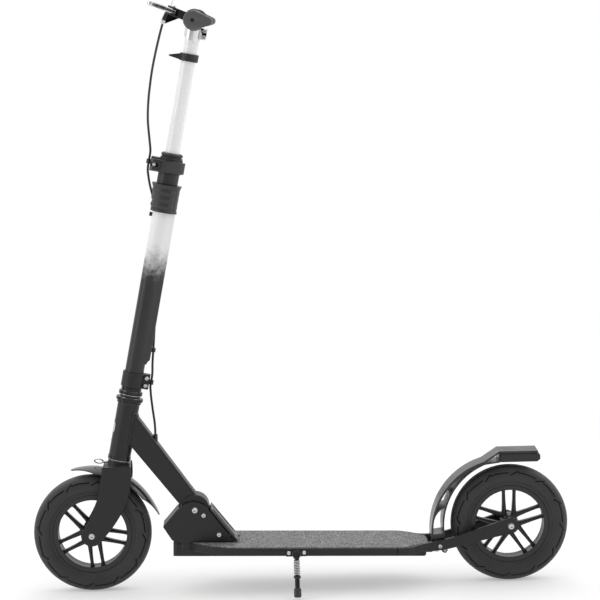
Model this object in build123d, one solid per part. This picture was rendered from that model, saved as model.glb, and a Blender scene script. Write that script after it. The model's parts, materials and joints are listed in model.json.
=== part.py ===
from build123d import *
import math
import os

os.makedirs("parts", exist_ok=True)

# Kick scooter, millimetres. +X is the rear, -Y the rider's left, +Z up. The origin is on the
# ground, midway between the wheels, in the middle of the handlebar's width.

# ---------------------------------------------------------------- driving dimensions
WHEELBASE = 728.0
TYRE_RADIUS = 102.5
TYRE_WIDTH = 40.0
TYRE_SEAT = 65.0            # radius of the rim's drop centre, where the tyre sits
RIM_LIP = 69.0
RIM_INSIDE = 60.0           # inside radius of the rim barrel
RIM_WIDTH = 30.0
HUB_RADIUS = 16.0
HUB_WIDTH = 34.0
BEARING_RADIUS = 11.0
BEARING_WIDTH = 7.0
AXLE_RADIUS = 4.0
LEAN = 11.4                 # backward lean of the steering axis, degrees
AXIS_FOOT_X = -361.3        # where the steering axis meets the ground
HEAD_LOW = 242.0            # heights along the steering axis, from the ground
HEAD_HIGH = 337.0
CLAMP_LOW = 366.0
CLAMP_HIGH = 392.0
KEEL_LOW = 409.0
SLEEVE_LOW = 674.0
STEM_TOP = 722.0
COLLAR_LOW = 741.0
COLLAR_HIGH = 765.0
BAR_HEIGHT = 1005.3
STEERER_RADIUS = 12.7
STEM_RADIUS = 16.3
STEM_BORE = 14.4
STEM_KEEL = 23.0
INNER_TUBE_RADIUS = 12.5
INNER_TUBE_LOW = 575.0
BAR_RADIUS = 11.1
BAR_HALF = 247.0
GRIP_LENGTH = 128.0
FOLD_PIVOT = (-185.0, 143.0)
KNUCKLE_RADIUS = 25.0
DECK_HALF = 65.0
DECK_SLOPE = 1.43           # the deck falls towards the rear, degrees
DECK_FRONT = -224.0
DECK_FRONT_Z = 85.6         # top of the deck at its front end
DECK_REAR = 221.0
RAIL_HEIGHT = 12.5
BEAM_HALF = 20.0
BEAM_HEIGHT = 25.0
STAY_INSIDE = 25.0
STAY_OUTSIDE = 33.0
BLADE_INSIDE = 24.5
BLADE_OUTSIDE = 30.5
FENDER_PIVOT = (240.0, 70.0)
FENDER_HALF = 22.0
CABLE_RADIUS = 2.0

FRONT_X = -WHEELBASE / 2
REAR_X = WHEELBASE / 2
COS = math.cos(math.radians(LEAN))
SIN = math.sin(math.radians(LEAN))
STEER = Plane(origin=(AXIS_FOOT_X, 0, 0), x_dir=(COS, 0, -SIN), z_dir=(SIN, 0, COS))
UP = (Align.CENTER, Align.CENTER, Align.MIN)
Y = (0, 1, 0)


# ---------------------------------------------------------------- workshop functions
def deck_top(x):
    """Height of the deck's upper surface at x."""
    return DECK_FRONT_Z - (x - DECK_FRONT) * math.tan(math.radians(DECK_SLOPE))


def rod(radius, length, base, direction, bore=0.0):
    """A round bar, or a ring where it has a bore, that starts at base."""
    solid = Cylinder(radius, length, align=UP)
    if bore:
        solid -= Cylinder(bore, length, align=UP)
    return Plane(origin=base, z_dir=direction) * solid


def turned(points):
    """A piece turned about Z from its half section of (radius, height) points."""
    return revolve(Plane.XZ * make_face(Polyline(*points, close=True)), Axis.Z)


def plate(face, y_low, y_high):
    """A side-view outline of (x, z) made into a plate between two values of y."""
    return Pos(0, y_high, 0) * extrude(Plane.XZ * face, amount=y_high - y_low)


def outline(*points):
    """A face with straight sides."""
    return make_face(Polyline(*points, close=True))


def both(solid):
    """The piece and its mirror image on the other side of the scooter."""
    return [solid, mirror(solid, Plane.XZ)]


def socket_screw(radius, length, base, direction, head=1.7):
    """A button-head screw whose head starts at base and whose shank runs along direction."""
    head_height = radius * 1.1
    place = Plane(origin=base, z_dir=direction)
    body = turned([(0, -head_height), (radius * head * 0.7, -head_height), (radius * head, 0),
                   (radius, 0), (radius, length), (0, length)])
    key = Pos(0, 0, -head_height) * extrude(RegularPolygon(radius * 0.6, 6), amount=head_height * 0.7)
    return place * (body - key)


def cable(points):
    """A brake cable: straight runs joined by arcs as large as the runs allow."""
    corners = [Vector(*p) for p in points]
    radii = []
    for before, here, after in zip(corners, corners[1:], corners[2:]):
        turn = math.radians((here - before).get_angle(after - here))
        shorter = min((here - before).length, (after - here).length)
        radii.append(0.45 * shorter / math.tan(turn / 2))
    print("cable arc radii", [round(r) for r in radii])
    if radii:
        path = FilletPolyline(*corners, radius=radii)
    else:
        path = Polyline(*corners)
    start = Plane(origin=path @ 0, z_dir=path % 0)
    return sweep(start * Circle(CABLE_RADIUS), path)


def save(name, shapes):
    """Write one node: a single piece, or several like pieces together."""
    if isinstance(shapes, (list, tuple)):
        solids = [s for shape in shapes for s in shape.solids()]
        shapes = Compound(children=solids) if len(solids) > 1 else solids[0]
    else:
        solids = shapes.solids()
        shapes = solids[0] if len(solids) == 1 else Compound(children=solids)
    export_step(shapes, f"parts/{name}.step")


# ---------------------------------------------------------------- wheels
def tyre():
    """Fat air-look tyre: bead between the rim's lips, round shoulders and crown."""
    half = TYRE_WIDTH / 2
    bead = RIM_WIDTH / 2 - 4.4
    right = [Line((TYRE_SEAT, bead), (RIM_LIP, bead + 1.1)),
             Line((RIM_LIP, bead + 1.1), (RIM_LIP + 0.5, half - 4)),
             ThreePointArc((RIM_LIP + 0.5, half - 4), (84, half), (96, half - 4.5)),
             ThreePointArc((96, half - 4.5), (101, 8), (TYRE_RADIUS, 0))]
    left = [mirror(e, Plane.XZ) for e in right]
    face = make_face([*right, *left, Line((TYRE_SEAT, -bead), (TYRE_SEAT, bead))])
    return revolve(Plane.XZ * face, Axis.Z)


def rim(first_angle):
    """Cast rim: barrel with two lips, hub with bearing seats, five pairs of thin spokes."""
    half = RIM_WIDTH / 2
    seat = TYRE_SEAT - 0.05
    barrel = turned([(RIM_INSIDE, -half), (RIM_LIP - 0.05, -half), (RIM_LIP - 0.05, 3.1 - half),
                     (seat, 4.2 - half), (seat, half - 4.2), (RIM_LIP - 0.05, half - 3.1),
                     (RIM_LIP - 0.05, half), (RIM_INSIDE, half)])
    body = barrel + Pos(0, 0, -HUB_WIDTH / 2) * Cylinder(HUB_RADIUS, HUB_WIDTH, align=UP)
    for k in range(5):
        for side in (1, -1):
            spoke = outline((8, side * 4.0), (8, side * 13.0), (61, side * 12.2), (61, side * 6.6))
            solid = Pos(0, 0, -6.5) * extrude(spoke, amount=13)
            body += Rot(0, 0, first_angle + 72 * k) * solid
    seats = Pos(0, 0, -HUB_WIDTH) * Cylinder(8.5, 2 * HUB_WIDTH, align=UP)
    for side in (1, -1):
        offset = HUB_WIDTH / 2 - BEARING_WIDTH / 2
        seats += Pos(0, 0, side * offset) * Cylinder(BEARING_RADIUS, BEARING_WIDTH)
    return body - seats


def bearings():
    """Two ball bearings and the tube that keeps them apart on the axle."""
    offset = HUB_WIDTH / 2 - BEARING_WIDTH
    ring = Cylinder(BEARING_RADIUS, BEARING_WIDTH, align=UP) - Cylinder(4.04, BEARING_WIDTH, align=UP)
    spacer = Cylinder(6, 2 * offset) - Cylinder(4.04, 2 * offset)
    return [Pos(0, 0, offset) * ring, Pos(0, 0, -offset - BEARING_WIDTH) * ring, spacer]


def axle(x, outside):
    """Axle bolt with its nut, and the washers that hold the hub between the arms."""
    bolt = socket_screw(AXLE_RADIUS, 2 * outside + 7, (x, -outside, TYRE_RADIUS), Y)
    nut = Plane(origin=(x, outside, TYRE_RADIUS), z_dir=Y) * (
        extrude(RegularPolygon(7.2, 6), amount=6) - Cylinder(AXLE_RADIUS + 0.01, 6, align=UP))
    inside = HUB_WIDTH / 2
    gap = (BLADE_INSIDE if x < 0 else STAY_INSIDE) - inside
    washers = [rod(6.2, gap, (x, inside, TYRE_RADIUS), Y, AXLE_RADIUS + 0.01),
               rod(6.2, gap, (x, -inside - gap, TYRE_RADIUS), Y, AXLE_RADIUS + 0.01)]
    return [bolt, nut, *washers]


for wheel, wheel_x, angle in (("front", FRONT_X, 60.5), ("rear", REAR_X, 90.0)):
    hub_plane = Plane(origin=(wheel_x, 0, TYRE_RADIUS), x_dir=(1, 0, 0), z_dir=(0, -1, 0))
    save(f"{wheel}_tyre", hub_plane * tyre())
    save(f"{wheel}_rim", hub_plane * rim(angle))
    save(f"{wheel}_bearings", [hub_plane * piece for piece in bearings()])
save("front_axle", axle(FRONT_X, BLADE_OUTSIDE))

# ---------------------------------------------------------------- deck
DECK_PLANE = Plane(origin=(0, 0, deck_top(0)), x_dir=(1, 0, 0), z_dir=(0, 0, 1)).rotated(
    (0, DECK_SLOPE, 0))


ARM_START = 164.0           # where the deck's side rails leave its edge as the stays
ARM_RISE = 184.0            # where the stays start to rise out of the deck's plane
ARM_END = 233.0             # where the stays run straight beside the wheel
STAY_REAR = 390.0           # beyond the eye at the rear axle
TAPE_GAP = 0.6              # between the tape and the rising stays


def arm_edge(inner, outer):
    """Plan of a stay's side: two arcs that bring it in from the deck's edge to the wheel."""
    turn = (ARM_END - ARM_START) / 2
    step = (outer - inner) / 2
    radius = (turn ** 2 + step ** 2) / (2 * step)
    half_turn = math.asin(turn / radius) / 2
    bow_x, bow_y = radius * math.sin(half_turn), radius * (1 - math.cos(half_turn))
    middle = (ARM_START + turn, inner + step)
    return [ThreePointArc((ARM_START, outer), (ARM_START + bow_x, outer - bow_y), middle),
            ThreePointArc(middle, (ARM_END - bow_x, inner + bow_y), (ARM_END, inner))]


def stay_band(clearance=0.0):
    """The space a left stay takes up, seen from above, with a gap on its inner side."""
    inside = STAY_INSIDE - clearance
    deck_inside = DECK_HALF - (STAY_OUTSIDE - STAY_INSIDE) - clearance
    plan = make_face([*arm_edge(STAY_OUTSIDE, DECK_HALF),
                      Line((ARM_END, STAY_OUTSIDE), (STAY_REAR, STAY_OUTSIDE)),
                      Line((STAY_REAR, STAY_OUTSIDE), (STAY_REAR, inside)),
                      Line((STAY_REAR, inside), (ARM_END, inside)),
                      *arm_edge(inside, deck_inside),
                      Line((ARM_START, deck_inside), (ARM_START, DECK_HALF))])
    return mirror(extrude(plan, amount=150), Plane.XZ)


def deck_outline(inset, front, rear):
    """Plan of the deck: narrow at the hinge, full width behind it, drawn in at the tail."""
    half = DECK_HALF - inset
    right = [Line((front, 0), (front, 19 - inset)),
             Line((front, 19 - inset), (-196, 22 - inset)),
             ThreePointArc((-196, 22 - inset), (-168, 49 - inset), (-128, half)),
             Line((-128, half), (ARM_START, half)),
             *arm_edge(STAY_OUTSIDE - inset, half),
             Line((ARM_END, STAY_OUTSIDE - inset), (ARM_END, 0))]
    left = [mirror(e, Plane.XZ) for e in right]
    return make_face([*right, *left]) & Pos((front + rear) / 2, 0) * Rectangle(rear - front, 200)


CABLE_HOLE_X = -199.0       # where the brake cable drops through the knuckle into the deck
cable_hole = rod(7.0, 20, (CABLE_HOLE_X + 4, 0, 74), (0, 0, 1))
BEAM_FRONT = DECK_FRONT + 7.6
BEAM_REAR = DECK_REAR - 5.5
STAND_SCREWS_X = (-24.0, 2.0)


def deck_plate():
    """Pressed plate: a 3 mm top with a folded rail, 12.5 mm deep, all round."""
    outer = extrude(deck_outline(0, DECK_FRONT + 8.4, DECK_REAR), amount=-RAIL_HEIGHT)
    hollow = extrude(deck_outline(4, DECK_FRONT - 20, DECK_REAR - 4), amount=-RAIL_HEIGHT)
    beam_space = Box(BEAM_REAR - DECK_FRONT, 2 * BEAM_HALF + 0.02, BEAM_HEIGHT).moved(
        Location(((BEAM_REAR + DECK_FRONT) / 2, 0, -3 - BEAM_HEIGHT / 2)))
    body = DECK_PLANE * (outer - Pos(0, 0, -3) * hollow - beam_space) - cable_hole - both(stay_band())
    for x in STAND_SCREWS_X:
        body -= rod(2.02, 30, (x, -80, 73.5), Y)
    return body


CABLE_STOP_Z = 56.0


def deck_beam():
    """Rectangular tube under the plate, closed behind by a tab that holds the cable's stop."""
    length = BEAM_REAR - BEAM_FRONT
    middle = (BEAM_REAR + BEAM_FRONT) / 2
    tube = Box(length, 2 * BEAM_HALF, BEAM_HEIGHT - 3)
    tube -= Box(length, 2 * BEAM_HALF - 6, BEAM_HEIGHT - 9)
    beam = DECK_PLANE * (Pos(middle, 0, -3 - (BEAM_HEIGHT - 3) / 2) * tube)
    tab = plate(outline((214, 51), (217, 51), (217, 61), (214, 61)), -BEAM_HALF + 2, BEAM_HALF - 2)
    stop = tab + rod(4.5, 15, (214, 0, CABLE_STOP_Z), (1, 0, 0))
    stop -= rod(1.2, 40, (200, 0, CABLE_STOP_Z), (1, 0, 0))
    return beam + stop - cable_hole


def deck_nose():
    """Moulded cap that closes the front end of the beam."""
    cap = Box(7.5, 2 * BEAM_HALF, BEAM_HEIGHT, align=(Align.MIN, Align.CENTER, Align.MAX))
    cap = fillet(cap.edges().filter_by(Axis.Z).group_by(Axis.X)[0], 4)
    plug = Box(5, 2 * BEAM_HALF - 6.2, BEAM_HEIGHT - 9.2)
    return DECK_PLANE * (Pos(DECK_FRONT, 0, 0) * (cap + Pos(8, 0, -3 - (BEAM_HEIGHT - 3) / 2) * plug))


save("deck_plate", deck_plate())
save("deck_beam", deck_beam())
save("deck_nose", deck_nose())
tape = extrude(deck_outline(4, DECK_FRONT + 14, DECK_REAR - 3), amount=0.9)
tape -= Box(116, 51, 10).moved(Location((-166, 0, 0)))
tape = DECK_PLANE * tape - both(stay_band(TAPE_GAP) & Pos(ARM_RISE + 50, 0, 0) * Box(100, 200, 300))
save("grip_tape", tape)


def stay():
    """Bar that sweeps in and up from the deck's edge to the rear axle, with a round eye end."""
    bar = make_face([Line((ARM_START, deck_top(ARM_START) - RAIL_HEIGHT), (ARM_START, deck_top(ARM_START))),
                     Line((ARM_START, deck_top(ARM_START)), (ARM_RISE, deck_top(ARM_RISE))),
                     Spline((ARM_RISE, deck_top(ARM_RISE)), (210, 76.0), (240, 79.4), (271, 87),
                            tangents=((1, -0.025), (1, 0.3235))),
                     Line((271, 87), (REAR_X - 8, 114.5)),
                     ThreePointArc((REAR_X - 8, 114.5), (REAR_X + 13.5, TYRE_RADIUS),
                                   (REAR_X - 2, 89.1)),
                     Line((REAR_X - 2, 89.1), (262, 66)),
                     ThreePointArc((262, 66), (238, 62), (214, 61.6)),
                     Line((214, 61.6), (ARM_START, deck_top(ARM_START) - RAIL_HEIGHT))])
    solid = plate(bar, -DECK_HALF, 0) & stay_band()
    solid -= rod(AXLE_RADIUS + 0.01, 60, (REAR_X, -60, TYRE_RADIUS), Y)
    solid -= rod(3.01, 60, (FENDER_PIVOT[0], -60, FENDER_PIVOT[1]), Y)
    return solid


save("rear_stays", both(stay()))

# ---------------------------------------------------------------- folding hinge
PLATE_INSIDE = 20.0
PLATE_OUTSIDE = 24.0
PEDAL_PIVOT = (-126.0, 89.6)


def hinge_bracket():
    """Two cheek plates joined by a folded front plate and a foot, welded to the deck."""
    px, pz = FOLD_PIVOT
    cheek = make_face([Line((-226, 90), (-241, 114)), Line((-241, 114), (-210, 148)),
                       ThreePointArc((-210, 148), (px, 156), (-160, 141)),
                       Line((-160, 141), (-117, deck_top(-117) + 2.2)),
                       Line((-117, deck_top(-117) + 2.2), (-117, deck_top(-117))),
                       Line((-117, deck_top(-117)), (-216, deck_top(-216))),
                       Line((-216, deck_top(-216)), (-226, 90))])
    body = plate(cheek, PLATE_INSIDE, PLATE_OUTSIDE) + plate(cheek, -PLATE_OUTSIDE, -PLATE_INSIDE)
    front = outline((-241, 114), (-214, 143.5), (-211.8, 141.4), (-237, 113.5), (-222, 90.5), (-226, 90))
    foot = outline((-226, 90), (-216, deck_top(-216)), (-117, deck_top(-117)),
                   (-117, deck_top(-117) + 2), (-215, deck_top(-215) + 2), (-222, 90.5))
    body += plate(front + foot, -PLATE_INSIDE, PLATE_INSIDE)
    for x, z, r in ((px, pz, 5.01), (-170, 133, 3.01), (-144, 98, 3.01), (*PEDAL_PIVOT, 2.05)):
        body -= rod(r, 60, (x, -30, z), Y)
    return body - cable_hole


def release_pedal():
    """Foot pedal that closes the back of the hinge and hooks over the knuckle when locked."""
    slab = outline((-158.6, 142.1), (-157.1, 145.8), (-111.6, 87.4), (-113.6, 86.2), (-116.2, 86.8))
    body = plate(slab, -PLATE_OUTSIDE, PLATE_OUTSIDE)
    x, z = PEDAL_PIVOT
    ear = Pos(x, z) * Circle(3.6) + outline((x, z - 3.6), (x, z + 3.6), (-122, 95), (-116.2, 86.8))
    ears = plate(ear, 14, PLATE_INSIDE - 0.4)
    body += ears + mirror(ears, Plane.XZ)
    return body + rod(2, 2 * PLATE_OUTSIDE - 1, (x, -PLATE_OUTSIDE + 0.5, z), Y)


save("hinge_bracket", hinge_bracket())
save("release_pedal", release_pedal())


def hinge_knuckle():
    """Solid block on the foot of the down tube that turns about the fold bolt."""
    px, pz = FOLD_PIVOT
    barrel = Pos(px, pz) * Circle(KNUCKLE_RADIUS)
    notch = Pos(px, pz) * Rot(0, 0, -23) * (Pos(KNUCKLE_RADIUS, 0) * Circle(5.5))
    body = plate(barrel - notch, -17.5, 17.5)
    return body - rod(5.05, 60, (px, -30, pz), Y) - rod(4.5, 80, (CABLE_HOLE_X, 0, 110), (0, 0, 1))


bolt_x, bolt_z = FOLD_PIVOT
fold_bolt = socket_screw(5.0, 2 * PLATE_OUTSIDE + 5, (bolt_x, -PLATE_OUTSIDE, bolt_z), Y, head=1.3)
fold_nut = Plane(origin=(bolt_x, PLATE_OUTSIDE, bolt_z), z_dir=Y) * (
    extrude(RegularPolygon(8, 6), amount=5) - Cylinder(5.01, 5, align=UP))
hinge_washers = [rod(8, 2.4, (bolt_x, y, bolt_z), Y, 5.01) for y in (-PLATE_INSIDE + 0.05, 17.55)]
save("fold_bolt", [fold_bolt, fold_nut, *hinge_washers])

# ---------------------------------------------------------------- neck: head tube and down tube
TUBE_HALF = 15.0            # half width of the down tube, across the scooter
head_tube = STEER * (Pos(0, 0, HEAD_LOW) * (Cylinder(19, HEAD_HIGH - HEAD_LOW, align=UP)
                                            - Cylinder(17.5, HEAD_HIGH - HEAD_LOW, align=UP)))
head_space = STEER * (Pos(0, 0, HEAD_LOW - 20) * Cylinder(19, HEAD_HIGH - HEAD_LOW + 40, align=UP))


def down_tube():
    """Box tube, deeper at the head tube than at the hinge, with rounded edges."""
    outer = outline((-181, 166), (-290, 320.3), (-300, 264.4), (-211, 150))
    body = plate(outer, -TUBE_HALF, TUBE_HALF)
    body = fillet(body.edges().filter_by(lambda e: abs(e.tangent_at(0.5).Y) < 0.1
                                         and e.length > 100), 4)
    inner = outline((-184.8, 167.5), (-290, 316), (-300, 268.5), (-209.5, 151.8))
    body -= plate(inner, -TUBE_HALF + 2, TUBE_HALF - 2)
    body -= head_space
    px, pz = FOLD_PIVOT
    body -= rod(KNUCKLE_RADIUS, 60, (px, -30, pz), Y)
    return max(body.solids(), key=lambda s: s.volume)


GROMMET = (-250.6, 268.4)   # where the brake cable drops into the down tube
grommet_hole = rod(4.0, 30, (GROMMET[0], 0, GROMMET[1] - 13), (0, 0, 1))
save("head_tube", head_tube)
save("down_tube", down_tube() - grommet_hole)
save("hinge_knuckle", hinge_knuckle())
grommet = rod(3.97, 12, (GROMMET[0], 0, GROMMET[1] - 7), (0, 0, 1), CABLE_RADIUS + 0.2)
save("cable_grommet", grommet)


def headset_cups():
    """Pressed cups at both ends of the head tube."""
    low = turned([(16.5, HEAD_LOW + 9), (17.48, HEAD_LOW + 9), (17.48, HEAD_LOW), (20, HEAD_LOW),
                  (20, HEAD_LOW - 5), (16.5, HEAD_LOW - 5)])
    high = turned([(16.5, HEAD_HIGH - 9), (17.48, HEAD_HIGH - 9), (17.48, HEAD_HIGH),
                   (21, HEAD_HIGH), (21, HEAD_HIGH + 4), (16.5, HEAD_HIGH + 4)])
    return [STEER * low, STEER * high]


def headset_bearings():
    """Ball bearing rings held in the cups."""
    return [STEER * turned([(STEERER_RADIUS + 0.05, s), (16.45, s), (16.45, s + 7),
                            (STEERER_RADIUS + 0.05, s + 7)]) for s in (HEAD_LOW - 3, HEAD_HIGH - 4)]


save("headset_cups", headset_cups())
save("headset_bearings", headset_bearings())

# ---------------------------------------------------------------- fork
CROWN_TOP = 223.0


def fork_blade():
    """Flat forged blade that sweeps forward to the axle."""
    face = make_face([Line((-294, CROWN_TOP), (-343, CROWN_TOP)),
                      Spline((-343, CROWN_TOP), (-350, 178), (-360, 147), (-379.5, 113)),
                      ThreePointArc((-379.5, 113), (-376, 88), (-351, 89.5)),
                      Spline((-351, 89.5), (-326, 118.5), (-306, 152), (-294, CROWN_TOP))])
    solid = plate(face, -BLADE_OUTSIDE, -BLADE_INSIDE)
    return solid - rod(AXLE_RADIUS + 0.01, 60, (FRONT_X, -60, TYRE_RADIUS), Y)


MUDGUARD_TOP = 117.5        # outside radius of the front mudguard, from the wheel centre
guard_angle = math.radians(62)
guard_hole_direction = (math.cos(guard_angle), 0, math.sin(guard_angle))
guard_hole_start = (FRONT_X + (MUDGUARD_TOP - 2.8) * math.cos(guard_angle), 0,
                    TYRE_RADIUS + (MUDGUARD_TOP - 2.8) * math.sin(guard_angle))
guard_hole = rod(2.51, 24, (guard_hole_start[0] - 5 * guard_hole_direction[0], 0,
                            guard_hole_start[2] - 5 * guard_hole_direction[2]), guard_hole_direction)


def fork_crown():
    """Block that joins the blades, hollowed over the mudguard, with the steerer's seat."""
    block = plate(outline((-342, CROWN_TOP), (-295, CROWN_TOP), (-297, 199), (-342, 199)),
                  -BLADE_INSIDE, BLADE_INSIDE)
    block -= rod(MUDGUARD_TOP + 0.3, 80, (FRONT_X, -40, TYRE_RADIUS), Y)
    race = STEER * (Pos(0, 0, 220) * Cylinder(18.5, HEAD_LOW - 5.4 - 220, align=UP))
    bore = STEER * (Pos(0, 0, 180) * Cylinder(STEERER_RADIUS + 0.01, 100, align=UP))
    return block + race - bore - guard_hole


save("fork_blades", both(fork_blade()))
save("fork_crown", fork_crown())
STEERER_LENGTH = 177.0
steerer = Cylinder(STEERER_RADIUS, STEERER_LENGTH, align=UP) - Cylinder(10.5, STEERER_LENGTH, align=UP)
save("steerer_tube", STEER * (Pos(0, 0, CROWN_TOP) * steerer))


def headset_stack():
    """Dust cover, spacers and locknut stacked on the steerer above the head tube."""
    bore = STEERER_RADIUS + 0.02
    rings = []
    levels = ((341.4, 347, 23.5), (347, 352.5, 18), (352.5, 358.5, 20.5), (358.5, 366, 17.5))
    for low, high, radius in levels:
        rings.append(STEER * turned([(bore, low), (radius - 0.8, low), (radius, low + 0.8),
                                     (radius, high - 0.8), (radius - 0.8, high), (bore, high)]))
    return rings


save("headset_stack", headset_stack())


def mudguard():
    """Crowned plastic guard over the front tyre, drawn to a point at both ends."""
    top = MUDGUARD_TOP
    arc = make_face([ThreePointArc((top - 9, -22.5), (top, 0), (top - 9, 22.5)),
                     Line((top - 9, 22.5), (top - 11, 22)),
                     ThreePointArc((top - 11, 22), (top - 2.2, 0), (top - 11, -22)),
                     Line((top - 11, -22), (top - 9, -22.5))])
    shell = revolve(Plane.XZ * arc, Axis.Z, revolution_arc=94)
    hub = Plane(origin=(FRONT_X, 0, TYRE_RADIUS), x_dir=(1, 0, 0), z_dir=(0, -1, 0))
    shell = hub * (Rot(0, 0, 13.5) * shell)
    for angle, turn in ((13.5, 1), (107.5, -1)):
        tip = math.radians(angle)
        for side in (1, -1):
            wedge = outline((-2, 23.5 * side), (-2, 1.5 * side), (26, 15 * side), (46, 23.5 * side))
            block = Pos(0, 0, 85) * extrude(wedge, amount=50)
            place = Plane(origin=(FRONT_X, 0, TYRE_RADIUS), x_dir=(-math.sin(tip) * turn, 0,
                                                                    math.cos(tip) * turn),
                          z_dir=(math.cos(tip), 0, math.sin(tip)))
            shell -= place * block
    return max(shell.solids(), key=lambda s: s.volume) - guard_hole


save("front_mudguard", mudguard())


def strap_ring():
    """Wire ring in front of the headset, where a carrying strap clips on."""
    ring = Plane(origin=(-350, 0, 228.5), z_dir=(0.1, 0.35, 1)) * Torus(7.5, 1.2)
    lug = Plane(origin=(-343.3, 0, 226.8), z_dir=(1, 0, 0.05)) * Cylinder(1.7, 8.5, align=UP)
    return lug + ring


save("strap_ring", strap_ring())

# ---------------------------------------------------------------- stem
round_section = Circle(STEM_RADIUS)
keel_section = make_hull(Circle(STEM_RADIUS).edges() + (Pos(STEM_KEEL - 3.5, 0) * Circle(3.5)).edges())


BUTTON_HEIGHT = 667.0
button_hole = Pos(-17, 0, BUTTON_HEIGHT) * Rot(0, 90, 0) * Cylinder(3.6, 12)


def stem_tube():
    """Extruded stem: round in front, a keel behind, cut back to a round end in the clamp."""
    lower = Pos(0, 0, CLAMP_LOW + 0.2) * extrude(round_section, amount=KEEL_LOW - CLAMP_LOW)
    upper = Pos(0, 0, KEEL_LOW) * extrude(keel_section, amount=STEM_TOP - KEEL_LOW)
    relief = Pos(STEM_KEEL + 4, 0, KEEL_LOW) * Rot(90, 0, 0) * Cylinder(8.5, 60)
    bore = Pos(0, 0, CLAMP_LOW) * Cylinder(STEM_BORE, STEM_TOP - CLAMP_LOW + 1, align=UP)
    return lower + upper - relief - bore - button_hole


def stem_clamp():
    """Split clamp that grips the stem on the steerer, with two lugs and a cable guide."""
    height = CLAMP_HIGH - CLAMP_LOW
    ring = Cylinder(19.4, height, align=UP)
    lugs = Box(28.5, 15, height, align=(Align.MIN, Align.CENTER, Align.MIN))
    body = ring + lugs
    body -= Cylinder(STEM_RADIUS + 0.01, height, align=UP)
    body -= Box(40, 2.2, height, align=(Align.MIN, Align.CENTER, Align.MIN))
    for s in (6.5, 19.5):
        body -= Pos(23, 0, s) * Rot(90, 0, 0) * Cylinder(2.51, 30)
    guide = Pos(31.5, 6, 8) * (Cylinder(4.2, 8, align=UP) + Pos(-3, 0, 0) * Box(6, 3, 8, align=UP))
    body += guide
    body -= Pos(31.5, 6, 0) * Cylinder(CABLE_RADIUS + 0.3, height, align=UP)
    return STEER * (Pos(0, 0, CLAMP_LOW) * body)


def steer_point(back, y, s):
    """World point given by its distances behind the steering axis, across, and along it."""
    return (AXIS_FOOT_X + back * COS + s * SIN, y, -back * SIN + s * COS)


save("stem_tube", STEER * stem_tube())
save("stem_clamp", stem_clamp())
clamp_screws = [socket_screw(2.5, 16, steer_point(23, -7.5, CLAMP_LOW + s), Y) for s in (6.5, 19.5)]
guard_screw = socket_screw(2.5, 10, guard_hole_start, guard_hole_direction)
save("steering_screws", [*clamp_screws, guard_screw])

# ---------------------------------------------------------------- height clamp
shim = turned([(STEERER_RADIUS + 0.02, CLAMP_LOW + 0.3), (STEM_BORE - 0.02, CLAMP_LOW + 0.3),
               (STEM_BORE - 0.02, 399), (STEERER_RADIUS + 0.02, 399)])
save("steerer_shim", STEER * shim)


sleeve_bore = make_hull(Circle(STEM_RADIUS + 0.05).edges()
                        + (Pos(STEM_KEEL - 3.5, 0) * Circle(3.55)).edges())


def ribbed_sleeve():
    """Rubber boot with four ribs that covers the top of the stem."""
    points = [(0, SLEEVE_LOW), (23.5, SLEEVE_LOW), (25.5, SLEEVE_LOW + 3), (25.5, SLEEVE_LOW + 8)]
    for k in range(4):
        low = SLEEVE_LOW + 8 + 8 * k
        points += [(24, low + 1.5), (24, low + 3), (25.2, low + 4.5), (25.2, low + 7)]
    points += [(26, STEM_TOP - 7), (26, STEM_TOP - 2), (24, STEM_TOP), (0, STEM_TOP)]
    body = turned(points)
    return body - Pos(0, 0, SLEEVE_LOW - 5) * extrude(sleeve_bore, amount=60)


def bush_sleeve():
    """Plastic bush between the two tubes, with a shoulder and a top ring that show."""
    bore = INNER_TUBE_RADIUS + 0.06
    return turned([(bore, 650), (STEM_BORE - 0.02, 650), (STEM_BORE - 0.02, STEM_TOP + 0.2),
                   (18.2, STEM_TOP + 0.2), (18.2, COLLAR_LOW), (15.6, COLLAR_LOW), (15.6, COLLAR_HIGH),
                   (19.2, COLLAR_HIGH), (19.2, COLLAR_HIGH + 3.2), (17, COLLAR_HIGH + 3.8),
                   (17, COLLAR_HIGH + 5.4), (18.6, COLLAR_HIGH + 6), (18.6, COLLAR_HIGH + 9),
                   (16, COLLAR_HIGH + 11), (bore, COLLAR_HIGH + 11)]) - button_hole


def quick_release_collar():
    """Split collar with two front lugs for the quick-release rod and a cable guide."""
    height = COLLAR_HIGH - COLLAR_LOW
    body = Cylinder(20.5, height, align=UP)
    body += Box(34, 22, height, align=(Align.MAX, Align.CENTER, Align.MIN))
    body -= Box(34.1, 3, height, align=(Align.MAX, Align.CENTER, Align.MIN))
    body -= Cylinder(15.62, height, align=UP)
    body -= Pos(-27, 0, height / 2) * Rot(90, 0, 0) * Cylinder(3.05, 60)
    guide = Pos(-37.5, 7, 10) * (Cylinder(4.2, 8, align=UP) + Pos(2.5, 0, 0) * Box(5, 3, 8, align=UP))
    body += guide
    body -= Pos(-37.5, 7, 0) * Cylinder(CABLE_RADIUS + 0.3, height, align=UP)
    return Pos(0, 0, COLLAR_LOW) * body


LEVER_PIVOT_BACK = -27.0
LEVER_PIVOT_Y = -17.0
COLLAR_MID = (COLLAR_LOW + COLLAR_HIGH) / 2


def quick_release_rod():
    """Threaded rod through the lugs with a knurled nut, and the cross pin of the cam."""
    long_rod = Pos(LEVER_PIVOT_BACK, 15, COLLAR_MID) * Rot(90, 0, 0) * Cylinder(3, 35.2, align=UP)
    nut = Pos(LEVER_PIVOT_BACK, 18, COLLAR_MID) * Rot(90, 0, 0) * Cylinder(6, 7, align=UP)
    pin = Pos(LEVER_PIVOT_BACK, LEVER_PIVOT_Y, COLLAR_MID) * Cylinder(2, 17)
    return long_rod + nut + pin


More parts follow.
